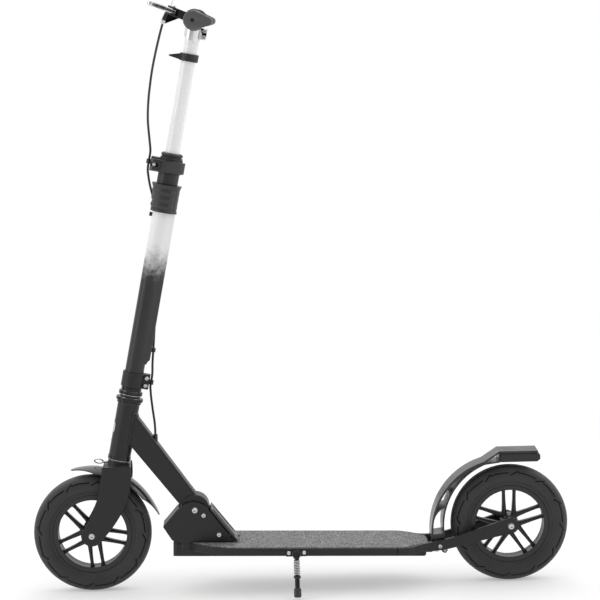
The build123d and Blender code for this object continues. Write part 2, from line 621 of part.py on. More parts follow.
def quick_release_lever():
    """Cam and curved blade that wraps the near side of the collar."""
    blade = make_face([ThreePointArc((-30, -20.5), (-10, -26.5), (10, -22)),
                       ThreePointArc((10, -22), (19, -17), (25.5, -9)),
                       Line((25.5, -9), (22.8, -7.2)),
                       ThreePointArc((22.8, -7.2), (17, -14.4), (9, -19)),
                       ThreePointArc((9, -19), (-10, -23.2), (-22, -17)),
                       Line((-22, -17), (-30, -20.5))])
    cam = Pos(LEVER_PIVOT_BACK, LEVER_PIVOT_Y) * Circle(5.6)
    body = Pos(0, 0, COLLAR_MID - 10) * extrude(blade + cam, amount=20)
    body -= Pos(LEVER_PIVOT_BACK, LEVER_PIVOT_Y, COLLAR_MID) * Cylinder(2.05, 17.2)
    return body - Pos(LEVER_PIVOT_BACK, LEVER_PIVOT_Y, COLLAR_MID) * Box(16, 20, 7)


save("ribbed_sleeve", STEER * ribbed_sleeve())
save("bush_sleeve", STEER * bush_sleeve())
save("quick_release_collar", STEER * quick_release_collar())
save("quick_release_rod", STEER * quick_release_rod())
save("quick_release_lever", STEER * quick_release_lever())
button = Pos(-18.6, 0, BUTTON_HEIGHT) * Rot(0, 90, 0) * Cylinder(3.55, 5)
save("height_button", STEER * button)

# ---------------------------------------------------------------- handlebar
HEAD_LOW_S = 968.0          # lower end of the T head, along the steering axis
HEAD_ROUND = 17.5           # radius of its rounded lower edge, seen from the side
HOOK_LOW = 934.0


def inner_tube():
    """Telescopic tube that carries the handlebar."""
    length = BAR_HEIGHT - 13 - INNER_TUBE_LOW
    return Pos(0, 0, INNER_TUBE_LOW) * (Cylinder(INNER_TUBE_RADIUS, length, align=UP)
                                        - Cylinder(10.7, length, align=UP))


def stem_head():
    """Cast T piece: a socket on the inner tube and a split ring round the bar."""
    socket = Pos(0, 0, HEAD_LOW_S) * Cylinder(15.2, BAR_HEIGHT - HEAD_LOW_S, align=UP)
    ring = Pos(0, 0, BAR_HEIGHT) * Rot(90, 0, 0) * Cylinder(15.5, 46)
    lug = Pos(10, 0, HEAD_LOW_S + 6) * Box(13, 24, 20, align=(Align.MIN, Align.CENTER, Align.MIN))
    socket &= Pos(0, 0, HEAD_LOW_S + HEAD_ROUND) * (
        Rot(90, 0, 0) * Cylinder(HEAD_ROUND, 60) + Box(60, 60, 40, align=UP))
    body = socket + ring + lug
    depth = BAR_HEIGHT - 13 - HEAD_LOW_S
    body -= Pos(0, 0, HEAD_LOW_S) * Cylinder(INNER_TUBE_RADIUS + 0.01, depth, align=UP)
    body -= Pos(0, 0, BAR_HEIGHT) * Rot(90, 0, 0) * Cylinder(BAR_RADIUS + 0.01, 60)
    body -= Pos(12, 0, HEAD_LOW_S + 6) * Box(12, 2.4, 20, align=(Align.MIN, Align.CENTER, Align.MIN))
    for s in (5, 15):
        body -= Pos(18.5, 0, HEAD_LOW_S + 6 + s) * Rot(90, 0, 0) * Cylinder(2.51, 40)
    return body


def strap_hook():
    """Clamp ring on the inner tube with a tapered forward hook for a carrying strap."""
    ring = Pos(0, 0, HOOK_LOW) * Cylinder(16, 13, align=UP)
    tongue = make_face([Line((-12, 0.5), (-12, 12.5)), Line((-12, 12.5), (-33, 6.5)),
                        ThreePointArc((-33, 6.5), (-34.5, 4.9), (-33, 3.6)), Line((-33, 3.6), (-12, 0.5))])
    body = ring + Pos(0, 0, HOOK_LOW) * plate(tongue, -5, 5)
    return body - Pos(0, 0, HOOK_LOW - 5) * Cylinder(INNER_TUBE_RADIUS + 0.02, 30, align=UP)


BAR_CENTRE = steer_point(0, 0, BAR_HEIGHT)
bar_x, _, bar_z = BAR_CENTRE
bar = rod(BAR_RADIUS, 2 * BAR_HALF, (bar_x, -BAR_HALF, bar_z), Y, BAR_RADIUS - 1.6)


def grip():
    """Soft grip with a palm wing behind and a closed outer end."""
    inner_end = -(BAR_HALF + 3 - GRIP_LENGTH)
    outer_end = -(BAR_HALF + 3)
    core = Plane.XZ * (Pos(bar_x, bar_z) * Circle(15.2))
    body = Pos(0, inner_end, 0) * extrude(core, amount=inner_end - outer_end)
    wing = Pos(bar_x, bar_z) * make_face([
        ThreePointArc((-6, 14), (12, 12), (27.5, 4)), ThreePointArc((27.5, 4), (31.5, -3), (26, -9.5)),
        ThreePointArc((26, -9.5), (10, -13.5), (-6, -14)), Line((-6, -14), (-6, 14))])
    body += Pos(0, inner_end - 26, 0) * extrude(Plane.XZ * wing, amount=inner_end - outer_end - 26)
    body -= rod(BAR_RADIUS + 0.02, 400, (bar_x, -BAR_HALF - 0.02, bar_z), Y)
    return body - rod(3.5, 10, (bar_x, outer_end - 1, bar_z), Y)


PERCH_Y = -106.0
FORWARD = (-0.9239, 0, 0.3827)      # from the bar towards the brake lever
LEVER_AXIS = (0.3827, 0, 0.9239)
PERCH = Plane(origin=(bar_x, PERCH_Y, bar_z), x_dir=FORWARD, z_dir=LEVER_AXIS)
LEVER_PIVOT = (38.0, 2.0)           # forward and outward from the middle of the perch
BARREL_LENGTH = 14.0
barrel_frame = Plane(origin=(bar_x - 44.5, PERCH_Y + 10, bar_z + 13), z_dir=(-0.45, 0.10, -0.89))


def brake_perch():
    """Clamp on the bar with a forked arm for the lever and a barrel for the cable."""
    x, y = LEVER_PIVOT
    arm = make_face([Line((0, -8), (44, -13)), ThreePointArc((44, -13), (48.5, -4), (46, 4)),
                     ThreePointArc((46, 4), (x, 11), (x - 9, 10)), Line((x - 9, 10), (0, 8)),
                     Line((0, 8), (0, -8))])
    body = Pos(0, 0, -7) * extrude(arm, amount=14)
    body += Rot(90, 0, 0) * Cylinder(15.4, 16)
    body -= Rot(90, 0, 0) * Cylinder(BAR_RADIUS + 0.02, 60)
    throat = outline((x - 11, -5.5), (60, -5.5), (60, 20), (x - 11, 20))
    body -= Pos(0, 0, -4.2) * extrude(throat, amount=8.4)
    body -= Pos(x, y, 0) * Cylinder(2.52, 30)
    barrel = barrel_frame * Cylinder(3.6, BARREL_LENGTH, align=UP)
    return PERCH * body + barrel


save("inner_tube", STEER * inner_tube())
save("stem_head", STEER * stem_head())
save("strap_hook", STEER * strap_hook())
save("handlebar_tube", bar)
save("handlebar_grips", both(grip()))
save("brake_perch", brake_perch())
head_screws = [socket_screw(2.5, 20, steer_point(18.5, -12, HEAD_LOW_S + 6 + s), Y) for s in (5, 15)]
lever_screw = PERCH * socket_screw(2.5, 13, (*LEVER_PIVOT, 7), (0, 0, -1), head=1.4)
save("handlebar_screws", [*head_screws, lever_screw])


def brake_lever():
    """Lever that turns in the perch's fork and runs outwards in front of the grip."""
    x, y = LEVER_PIVOT
    blade = make_face([Line((x - 5, y + 6), (50, 25)),
                       Spline((50, 25), (55.5, 42), (61, 80), (66.5, 112)),
                       ThreePointArc((66.5, 112), (72, 116), (77, 111)),
                       Spline((77, 111), (73, 78), (67, 42), (62, 20)),
                       ThreePointArc((62, 20), (54, 4), (x + 3, y - 6)),
                       Line((x + 3, y - 6), (x - 5, y + 6))])
    body = Pos(0, 0, -3.9) * extrude(blade + Pos(x, y) * Circle(6.8), amount=7.8)
    return PERCH * (body - Pos(x, y, 0) * Cylinder(2.58, 30))


save("brake_lever", brake_lever())

# ---------------------------------------------------------------- rear brake
fx, fz = FENDER_PIVOT


WIRE_ANCHOR = (251.0, 55.2)


def fender():
    """Extruded alloy fender: an outer and an inner band joined by struts, and a foot plate."""
    hub_x, hub_z = REAR_X, TYRE_RADIUS

    def on_arc(radius, degrees):
        a = math.radians(degrees)
        return (hub_x + radius * math.cos(a), hub_z + radius * math.sin(a))

    skin = make_face([Line((226, 76), (226, 95)),
                      ThreePointArc((226, 95), (252, 169), (318, 215)),
                      Line((318, 215), (345, 233)), Line((345, 233), (413, 233)),
                      Line((413, 233), (413, 229)), Line((413, 229), (347, 229)),
                      Line((347, 229), (347, 213)), Line((347, 213), on_arc(115.5, 112)),
                      ThreePointArc(on_arc(115.5, 112), on_arc(115.5, 150), on_arc(115.5, 187)),
                      Line(on_arc(115.5, 187), (248, 74)), Line((248, 74), (226, 76))])
    gap = make_face([ThreePointArc((229.5, 88), (255, 166.2), (300, 201.5)),
                     ThreePointArc((300, 201.5), on_arc(118.6, 155), on_arc(118.6, 186)),
                     Line(on_arc(118.6, 186), (229.5, 88))])
    low_strut = make_face([ThreePointArc((227, 112), (237, 130.5), (256, 141)),
                           Line((256, 141), (256, 137.5)),
                           ThreePointArc((256, 137.5), (240, 128.5), (231, 112)),
                           Line((231, 112), (227, 112))])
    high_strut = outline((253.5, 174), (257, 176), (262.3, 157), (258.8, 155))
    peak = outline((321, 213.2), (344.2, 228.4), (344.2, 214.6))
    face = skin - (gap - low_strut - high_strut) - peak
    body = plate(face, -FENDER_HALF, FENDER_HALF)
    lug = Pos(fx, fz) * Circle(8.5) + outline((229, 78), (250, 78), (247, 66), (233, 66))
    ax, az = WIRE_ANCHOR
    arm = outline((fx - 2, fz - 4), (fx + 8, fz - 4), (ax + 5, az), (ax + 1, az - 5), (ax - 4.5, az - 3))
    body += plate(lug, -FENDER_HALF, FENDER_HALF) + plate(arm, -6, 6)
    body -= rod(3.05, 80, (fx, -40, fz), Y)
    slot = outline((ax - 12, az - 3), (ax, az - 3), (ax, az + 4), (ax - 12, az + 4))
    return body - plate(slot, -1.5, 1.5) - rod(2.53, 30, (ax, -15, az), Y)


save("rear_fender", fender())
shoe = outline((347.3, 228.8), (412, 228.8), (417.5, 225), (417.5, 217), (412, 213), (347.3, 213))
save("brake_shoe", plate(shoe, -20.5, 20.5))
fender_bolt = socket_screw(3.0, 2 * STAY_OUTSIDE + 5, (fx, -STAY_OUTSIDE, fz), Y, head=1.5)
fender_nut = rod(5, 4, (fx, STAY_OUTSIDE, fz), Y, 3.01)
save("rear_bolts", [*axle(REAR_X, STAY_OUTSIDE), fender_bolt, fender_nut])
spring_coil = rod(6.6, 2.4, (fx, FENDER_HALF + 0.3, fz), Y, 3.3)
save("fender_spring", [spring_coil, mirror(spring_coil, Plane.XZ)])
nipple = rod(2.5, 11, (WIRE_ANCHOR[0], -5.5, WIRE_ANCHOR[1]), Y)
wire = rod(0.9, WIRE_ANCHOR[0] - 230, (230, 0, WIRE_ANCHOR[1] + 0.4), (1, 0, -0.02))
save("brake_wire", nipple + wire)

# ---------------------------------------------------------------- kickstand
STAND_PIVOT = Vector(-11, -76.0, 73.0)
leg_direction = Vector(0, -0.399, -0.917)
pin_direction = Vector(0, -0.917, 0.399)


def stand_bracket():
    """Plate bolted to the deck's rail with a boss for the stand's pin."""
    slab = outline((-29, 67), (-27, 81), (5, 81), (7, 67))
    body = plate(slab, -DECK_HALF - 3, -DECK_HALF - 0.02)
    body += rod(7, 11.3, STAND_PIVOT - pin_direction * 16, pin_direction)
    body += rod(3.0, 16, STAND_PIVOT - pin_direction * 10, pin_direction)
    body += rod(5, 2.2, STAND_PIVOT + pin_direction * 4.8, pin_direction)
    body -= Box(60, 30, 60).moved(Location((-11, -DECK_HALF + 14.98, 73)))
    for x in STAND_SCREWS_X:
        body -= rod(2.02, 30, (x, -80, 73.5), Y)
    return body


save("stand_bracket", stand_bracket())
stand_screws = [socket_screw(2.0, 6, (x, -DECK_HALF - 3, 73.5), Y, head=2) for x in STAND_SCREWS_X]
hinge_screws = []
for x, z in ((-170, 133), (-144, 98)):
    screw = socket_screw(3.0, 4, (x, -PLATE_OUTSIDE, z), Y)
    hinge_screws += both(screw)
save("deck_screws", stand_screws + hinge_screws)


def stand_leg():
    """Bent-free steel leg with an eye at the top and a collar under the spring."""
    body = rod(7.5, 9, STAND_PIVOT - pin_direction * 4.5, pin_direction)
    body += rod(4.2, 62, STAND_PIVOT, leg_direction)
    body += rod(6.2, 4, STAND_PIVOT + leg_direction * 37, leg_direction)
    return body - rod(3.05, 30, STAND_PIVOT - pin_direction * 15, pin_direction)


save("stand_leg", stand_leg())
save("stand_foot", rod(6.3, 15, STAND_PIVOT + leg_direction * 59, leg_direction)
     - rod(4.25, 3.2, STAND_PIVOT + leg_direction * 58.9, leg_direction))
save("stand_spring", rod(5.7, 27, STAND_PIVOT + leg_direction * 9.5, leg_direction, 4.4))

# ---------------------------------------------------------------- brake cable
upper_guide = steer_point(-37.5, 7, COLLAR_LOW + 18)
lower_guide = steer_point(31.5, 6, CLAMP_LOW + 8)
barrel_end = tuple(barrel_frame.origin + barrel_frame.z_dir * (BARREL_LENGTH + 0.2))
cable_upper = [barrel_end, (-218.5, -91.5, 970), (-226.2, -84, 943), (-236, -70, 904), (-244, -49, 857),
               (-247.5, -27, 820), steer_point(-42.5, -3, 793), steer_point(-37.5, 7, 773), upper_guide]
cable_mid = [upper_guide, steer_point(-37.5, 7, 741), steer_point(-30, 21, 715),
             steer_point(-18, 31, 688), steer_point(-6, 30.5, 650), steer_point(1, 25.5, 608),
             steer_point(8, 22, 562), steer_point(15.5, 17.5, 515), steer_point(21.5, 12.5, 468),
             steer_point(25, 9, 440), steer_point(28, 7, 412), steer_point(31.5, 6, 392), lower_guide]
cable_lower = [lower_guide, steer_point(31.5, 6, 370), (-256.4, 5, 338), (-254, 2.7, 316),
               (GROMMET[0], 0, 290), (GROMMET[0], 0, GROMMET[1])]
cable_neck = [(GROMMET[0], 0, GROMMET[1]), (GROMMET[0], 0, 245), (-238, 0, 220), (-220, 0, 193),
              (-203, 0, 168), (CABLE_HOLE_X, 0, 148), (CABLE_HOLE_X, 0, 122)]
cable_deck = [(CABLE_HOLE_X, 0, 116), (CABLE_HOLE_X, 0, 89), (-188, 0, 73.5), (-168, 0, 70.5),
              (-132, 0, 70), (-76, 0, 67.5), (-18, 0, 67), (40, 0, 64.5), (98, 0, 63.5),
              (154, 0, 60), (190, 0, CABLE_STOP_Z + 0.5), (213.9, 0, CABLE_STOP_Z)]
for name, route in (("cable_upper", cable_upper), ("cable_mid", cable_mid), ("cable_lower", cable_lower),
                    ("cable_neck", cable_neck), ("cable_deck", cable_deck)):
    save(name, cable(route))
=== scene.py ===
import json
import math

import bmesh
import bpy
from mathutils import Matrix, Vector

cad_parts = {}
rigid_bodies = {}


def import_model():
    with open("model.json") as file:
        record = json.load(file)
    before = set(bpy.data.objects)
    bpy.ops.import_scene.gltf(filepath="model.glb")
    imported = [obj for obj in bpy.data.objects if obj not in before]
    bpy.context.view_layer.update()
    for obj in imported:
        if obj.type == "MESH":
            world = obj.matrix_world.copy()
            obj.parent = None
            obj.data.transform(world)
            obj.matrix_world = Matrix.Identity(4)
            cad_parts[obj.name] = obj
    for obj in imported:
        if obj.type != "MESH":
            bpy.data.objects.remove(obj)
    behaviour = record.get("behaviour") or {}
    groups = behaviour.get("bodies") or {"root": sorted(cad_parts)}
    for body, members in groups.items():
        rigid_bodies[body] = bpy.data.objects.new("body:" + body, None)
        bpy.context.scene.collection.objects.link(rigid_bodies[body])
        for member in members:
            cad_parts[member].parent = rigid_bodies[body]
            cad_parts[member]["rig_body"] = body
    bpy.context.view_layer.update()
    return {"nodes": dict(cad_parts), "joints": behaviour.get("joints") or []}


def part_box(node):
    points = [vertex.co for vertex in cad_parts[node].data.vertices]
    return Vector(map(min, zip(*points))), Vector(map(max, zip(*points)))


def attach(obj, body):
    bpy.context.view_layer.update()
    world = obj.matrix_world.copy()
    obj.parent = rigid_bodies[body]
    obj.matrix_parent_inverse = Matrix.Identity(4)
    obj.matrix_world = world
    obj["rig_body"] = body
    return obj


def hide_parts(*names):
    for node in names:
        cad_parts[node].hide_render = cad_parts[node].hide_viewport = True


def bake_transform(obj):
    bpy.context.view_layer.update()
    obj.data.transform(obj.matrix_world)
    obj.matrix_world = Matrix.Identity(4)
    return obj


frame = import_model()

# Adult kick scooter, in metres: +X is the rear, -Y the rider's left, +Z up, ground at zero.
nodes = frame["nodes"]


# ---- Studio ---------------------------------------------------------------------------------
# A pale floor that runs out into white on every side, one wide soft box overhead, a strip
# behind and a fill in front. The camera stands level with the bar and looks slightly down.
CAMERA_PLACE = Vector((-0.086, -3.600, 0.989))
CAMERA_AIM = Vector((0.005, 0.0, 0.503))
CAMERA_ROLL = -0.019
CAMERA_LENS = 126.4
FLOOR_HALF = 40.0
FLOOR_CLEAR = 0.55          # distance from the scooter at which the floor starts to turn white
FLOOR_WHITE = 1.6
FLOOR_LIFT = 0.34           # share of plain white in the floor beside the scooter


def add(tree, kind, inputs=None, **settings):
    """Put a node into a tree, set it up, and join or set its input sockets."""
    node = tree.nodes.new(kind)
    for key, value in settings.items():
        setattr(node, key, value)
    for key, value in (inputs or {}).items():
        if isinstance(value, bpy.types.NodeSocket):
            tree.links.new(value, node.inputs[key])
        else:
            node.inputs[key].default_value = value
    return node


def ramp(tree, value, low, high, to_low=0.0, to_high=1.0, smooth=True):
    """The value taken from one range to another, held at both ends."""
    return add(tree, "ShaderNodeMapRange", {"Value": value, "From Min": low, "From Max": high,
                                            "To Min": to_low, "To Max": to_high},
               interpolation_type="SMOOTHSTEP" if smooth else "LINEAR").outputs["Result"]


def maths(tree, operation, first, second=0.0):
    return add(tree, "ShaderNodeMath", {0: first, 1: second}, operation=operation).outputs[0]


def mixed(tree, factor, first, second):
    """One colour laid over another by a mask."""
    return add(tree, "ShaderNodeMix", {"Factor": factor, 6: first, 7: second},
               data_type="RGBA", clamp_factor=True).outputs[2]


def grey(value, warmth=0.0):
    return (value * (1 + warmth), value, value * (1 - warmth), 1.0)


camera = bpy.data.objects.new("studio_camera", bpy.data.cameras.new("studio_camera"))
bpy.context.scene.collection.objects.link(camera)
ahead = (CAMERA_AIM - CAMERA_PLACE).normalized()
level = ahead.cross(Vector((0, 0, 1))).normalized()
rise = level.cross(ahead)
right = math.cos(CAMERA_ROLL) * level + math.sin(CAMERA_ROLL) * rise
upward = -math.sin(CAMERA_ROLL) * level + math.cos(CAMERA_ROLL) * rise
camera.matrix_world = Matrix.Translation(CAMERA_PLACE) @ Matrix(
    (right, upward, -ahead)).transposed().to_4x4()
camera.data.lens = CAMERA_LENS
camera.data.sensor_width = 36.0
bpy.context.scene.camera = camera
bpy.context.scene.view_settings.view_transform = "Standard"

world = bpy.data.worlds.new("studio_room")
bpy.context.scene.world = world
world.use_nodes = True
room = world.node_tree
direction = add(room, "ShaderNodeTexCoord").outputs["Generated"]
parts = add(room, "ShaderNodeSeparateXYZ", {0: direction}).outputs
overhead = ramp(room, parts["Z"], -0.1, 0.9, 0.50, 0.95)
front_shade = ramp(room, parts["Y"], -0.85, 0.9, 0.74, 1.60)
dark_front = ramp(room, parts["Y"], -1.0, -0.80, 0.55, 1.0)
front_shade = maths(room, "MULTIPLY", front_shade, dark_front)
seen = add(room, "ShaderNodeLightPath").outputs["Is Camera Ray"]
strength = maths(room, "MULTIPLY", overhead, front_shade)
strength = maths(room, "MAXIMUM", strength, seen)
sky = room.nodes["Background"]
sky.inputs["Color"].default_value = grey(1.0)
room.links.new(strength, sky.inputs["Strength"])


def soft_box(name, place, aim, width, height, watts):
    """A large rectangular light that faces a point."""
    lamp = bpy.data.lights.new(name, "AREA")
    lamp.shape, lamp.size, lamp.size_y, lamp.energy = "RECTANGLE", width, height, watts
    box = bpy.data.objects.new(name, lamp)
    bpy.context.scene.collection.objects.link(box)
    box.location = place
    box.rotation_euler = (Vector(aim) - Vector(place)).to_track_quat("-Z", "Y").to_euler()
    box.visible_camera = False


soft_box("box_overhead", (0.1, 0.5, 2.6), (0, 0, 0.3), 2.8, 2.2, 15)
soft_box("strip_left", (-2.4, -0.9, 1.3), (0, 0, 0.5), 0.9, 2.2, 14)
soft_box("strip_right", (2.6, -0.4, 1.4), (0, 0, 0.4), 0.9, 2.2, 12)

floor_mesh = bpy.data.meshes.new("studio_floor")
floor_mesh.from_pydata([(x * FLOOR_HALF, y * FLOOR_HALF, 0.0)
                        for x, y in ((-1, -1), (1, -1), (1, 1), (-1, 1))], [], [(0, 1, 2, 3)])
floor = bpy.data.objects.new("studio_floor", floor_mesh)
bpy.context.scene.collection.objects.link(floor)
floor_paint = bpy.data.materials.new("studio_floor")
floor_paint.use_nodes = True
tree = floor_paint.node_tree
place = add(tree, "ShaderNodeTexCoord").outputs["Object"]
flattened = add(tree, "ShaderNodeVectorMath", {0: place, 1: (0.62, 1.0, 1.0)}, operation="MULTIPLY")
distance = add(tree, "ShaderNodeVectorMath", {0: flattened.outputs[0]}, operation="LENGTH")
glow = ramp(tree, distance.outputs["Value"], FLOOR_CLEAR, FLOOR_WHITE)
matt = add(tree, "ShaderNodeBsdfDiffuse", {"Color": grey(0.88)})
lit = add(tree, "ShaderNodeEmission", {"Color": grey(1.0), "Strength": 1.0})
lifted = maths(tree, "MAXIMUM", glow, FLOOR_LIFT)
blend = add(tree, "ShaderNodeMixShader", {0: lifted, 1: matt.outputs[0], 2: lit.outputs[0]})
tree.links.new(blend.outputs[0], tree.nodes["Material Output"].inputs["Surface"])
floor_mesh.materials.append(floor_paint)


# ---- Head tube, down tube and fold knuckle --------------------------------------------------
# The neck is a turned steel head tube, a box tube that tapers towards the hinge, and a solid
# knuckle, welded together. It has one coat of satin black powder, rubbed at the corners.
def new_group(name, inputs, outputs):
    """An empty shader node group with its named sockets."""
    group = bpy.data.node_groups.new(name, "ShaderNodeTree")
    for label, value in inputs:
        socket = group.interface.new_socket(label, in_out="INPUT", socket_type="NodeSocketFloat")
        socket.default_value = value
    for label in outputs:
        group.interface.new_socket(label, in_out="OUTPUT", socket_type="NodeSocketFloat")
    return group, group.nodes.new("NodeGroupInput").outputs, group.nodes.new("NodeGroupOutput")


surface_grain, given, result = new_group(
    "surface_grain", [("Size", 900.0)], ["Height", "Patch"])
where = add(surface_grain, "ShaderNodeTexCoord").outputs["Object"]
fine = add(surface_grain, "ShaderNodeTexNoise",
           {"Vector": where, "Scale": given["Size"], "Detail": 3.0})
wide = add(surface_grain, "ShaderNodeTexNoise", {"Vector": where, "Scale": 23.0, "Detail": 5.0,
                                                 "Roughness": 0.62})
surface_grain.links.new(fine.outputs["Fac"], result.inputs["Height"])
surface_grain.links.new(ramp(surface_grain, wide.outputs["Fac"], 0.32, 0.68), result.inputs["Patch"])

rubbed_edges, given, result = new_group(
    "rubbed_edges", [("Reach", 0.0016), ("Wear", 0.5)], ["Mask"])
rounded_normal = add(rubbed_edges, "ShaderNodeBevel", {"Radius": given["Reach"]}, samples=4)
true_normal = add(rubbed_edges, "ShaderNodeNewGeometry").outputs["True Normal"]
turn = add(rubbed_edges, "ShaderNodeVectorMath", {0: rounded_normal.outputs[0], 1: true_normal},
           operation="DOT_PRODUCT").outputs["Value"]
near_edge = ramp(rubbed_edges, turn, 0.995, 0.80)
where = add(rubbed_edges, "ShaderNodeTexCoord").outputs["Object"]
broken = add(rubbed_edges, "ShaderNodeTexNoise", {"Vector": where, "Scale": 160.0, "Detail": 6.0})
kept = maths(rubbed_edges, "MULTIPLY", near_edge, ramp(rubbed_edges, broken.outputs["Fac"], 0.35, 0.62))
rubbed_edges.links.new(maths(rubbed_edges, "MULTIPLY", kept, given["Wear"]), result.inputs["Mask"])

settled_dust, given, result = new_group("settled_dust", [("Amount", 0.2)], ["Mask"])
coordinates = add(settled_dust, "ShaderNodeTexCoord").outputs
tilt = add(settled_dust, "ShaderNodeSeparateXYZ", {0: coordinates["Normal"]}).outputs["Z"]
facing_up = ramp(settled_dust, tilt, 0.35, 1.0)
cloud = add(settled_dust, "ShaderNodeTexNoise", {"Vector": coordinates["Object"], "Scale": 70.0,
                                                 "Detail": 7.0, "Roughness": 0.7})
film = maths(settled_dust, "MULTIPLY", facing_up, ramp(settled_dust, cloud.outputs["Fac"], 0.3, 0.8))
settled_dust.links.new(maths(settled_dust, "MULTIPLY", film, given["Amount"]), result.inputs["Mask"])

DUST = grey(0.30, 0.02)


def finish(name, slot, colour, worn, rough, grain=900.0, depth=0.00003, wear=0.3, dust=0.12,
           reach=0.0016, variation=0.18, **sockets):
    """A finish with grain, uneven gloss, rubbed edges and a film of dust on what faces up."""
    material = bpy.data.materials.new(name)
    material.use_nodes = True
    material["slot"] = slot
    tree = material.node_tree
    shader = tree.nodes["Principled BSDF"]
    grains = add(tree, "ShaderNodeGroup", {"Size": grain}, node_tree=surface_grain)
    edges = add(tree, "ShaderNodeGroup", {"Reach": reach, "Wear": wear}, node_tree=rubbed_edges)
    dusty = add(tree, "ShaderNodeGroup", {"Amount": dust}, node_tree=settled_dust)
    toned = mixed(tree, grains.outputs["Patch"], grey(colour * (1 - variation)),
                  grey(colour * (1 + variation)))
    rubbed = mixed(tree, edges.outputs["Mask"], toned, grey(worn))
    covered = mixed(tree, dusty.outputs["Mask"], rubbed, DUST)
    tree.links.new(covered, shader.inputs["Base Color"])
    gloss = ramp(tree, grains.outputs["Patch"], 0.0, 1.0, rough - 0.05, rough + 0.07, smooth=False)
    tree.links.new(gloss, shader.inputs["Roughness"])
    bump = add(tree, "ShaderNodeBump", {"Strength": 0.7, "Distance": depth,
                                        "Height": grains.outputs["Height"]})
    tree.links.new(bump.outputs[0], shader.inputs["Normal"])
    for socket, value in sockets.items():
        shader.inputs[socket.replace("_", " ")].default_value = value
    return material


def mount(name, mesh, material, body, stands_for=(), broken=0.0, sharp=38.0):
    """Paint a mesh, fix it to the body it moves with, and round its corners by broken."""
    part = bpy.data.objects.new(name, mesh)
    bpy.context.scene.collection.objects.link(part)
    mesh.materials.append(material)
    mesh.polygons.foreach_set("use_smooth", [True] * len(mesh.polygons))
    if broken:
        bevel = part.modifiers.new("broken_edges", "BEVEL")
        bevel.width, bevel.segments = broken, 3
        bevel.limit_method, bevel.angle_limit = "ANGLE", math.radians(sharp)
        bevel.use_clamp_overlap = False
        bevel.miter_outer = "MITER_ARC"
        weights = part.modifiers.new("flat_faces", "WEIGHTED_NORMAL")
        weights.weight = 80
    else:
        mesh.set_sharp_from_angle(angle=math.radians(sharp))
    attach(part, body)
    if stands_for:
        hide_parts(*stands_for)
    return part


def formed(node, material, broken=0.0008, sharp=38.0):
    """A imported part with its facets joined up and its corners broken, standing for the part."""
    work = bmesh.new()
    work.from_mesh(nodes[node].data)
    bmesh.ops.remove_doubles(work, verts=work.verts, dist=0.000004)
    bmesh.ops.dissolve_limit(work, angle_limit=math.radians(0.4), verts=work.verts, edges=work.edges)
    bmesh.ops.recalc_face_normals(work, faces=work.faces)
    work.verts.index_update()
    mesh = bpy.data.meshes.new(node + "_formed")
    mesh.from_pydata([v.co.copy() for v in work.verts], [],
                     [[v.index for v in f.verts] for f in work.faces])
    work.free()
    return mount(node + "_formed", mesh, material, nodes[node]["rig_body"], (node,), broken, sharp)


def dress(node, material):
    """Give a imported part, whose shape is right as it is, its finish."""
    mesh = nodes[node].data
    if not mesh.materials:
        mesh.materials.append(material)
    for place in nodes[node].material_slots:
        place.material = material


def skin(rings, run_closed=False, capped=True):
    """Corner points and faces of a surface drawn through closed rings of points."""
    count, faces = len(rings[0]), []
    for i in range(len(rings) if run_closed else len(rings) - 1):
        a, b = i * count, (i + 1) % len(rings) * count
        faces += [(a + j, a + (j + 1) % count, b + (j + 1) % count, b + j) for j in range(count)]
    if capped and not run_closed:
        last = (len(rings) - 1) * count
        faces += [tuple(range(count))[::-1], tuple(range(last, last + count))]
    return [Vector(p) for ring in rings for p in ring], faces


def piece(name, skins, material, body, stands_for=(), broken=0.0, sharp=38.0):
    """A new piece made of one or more skins."""
    points, faces = [], []
    for skin_points, skin_faces in skins:
        faces += [[i + len(points) for i in face] for face in skin_faces]
        points += skin_points
    mesh = bpy.data.meshes.new(name)
    mesh.from_pydata(points, [], faces)
    work = bmesh.new()
    work.from_mesh(mesh)
    bmesh.ops.recalc_face_normals(work, faces=work.faces)
    work.to_mesh(mesh)
    work.free()
    return mount(name, mesh, material, body, stands_for, broken, sharp)


def tube(path, radius, sides=12, closed=False):
    """A round skin along a path; radius is one value or one for each point."""
    radii = radius if isinstance(radius, (list, tuple)) else [radius] * len(path)
    count = len(path)
    rings, across = [], None
    for i, point in enumerate(path):
        before = path[i - 1] if i or closed else path[0]
        after = path[(i + 1) % count] if i < count - 1 or closed else path[-1]
        run = (after - before).normalized()
        if across is None:
            across = run.orthogonal()
        across = (across - run * across.dot(run)).normalized()
        other = run.cross(across)
        rings.append([point + radii[i] * (across * math.cos(a) + other * math.sin(a))
                      for a in (2 * math.pi * k / sides for k in range(sides))])
    return skin(rings, run_closed=closed)


steer_joint = next(j for j in frame["joints"] if j["name"] == "steer")
STEER_AXIS = Vector(steer_joint["axis"]).normalized()
steer_place = Vector(steer_joint["pos_m"])
STEER_FOOT = steer_place - STEER_AXIS * (steer_place.z / STEER_AXIS.z)
STEER_BACK = Vector((STEER_AXIS.z, 0, -STEER_AXIS.x))
SIDEWAYS = Vector((0, 1, 0))


def steer_point(back, across, along):
    """A place given by its distances behind the steering axis, across it, and up along it."""
    return STEER_FOOT + STEER_BACK * back + SIDEWAYS * across + STEER_AXIS * along


def steer_ring(radius, along, sides=64, back=0.0, across=0.0):
    return [steer_point(back + radius * math.cos(a), across + radius * math.sin(a), along)
            for a in (2 * math.pi * k / sides for k in range(sides))]


black_coat = finish("satin_black_powder_coat", "black_satin_metal", 0.0075, 0.085, 0.40,
                    grain=1500.0, depth=0.00005, wear=0.55, dust=0.10, Specular_IOR_Level=0.42)
for node, corner in (("head_tube", 0.0004), ("down_tube", 0.0005), ("hinge_knuckle", 0.0012)):
    formed(node, black_coat, corner)

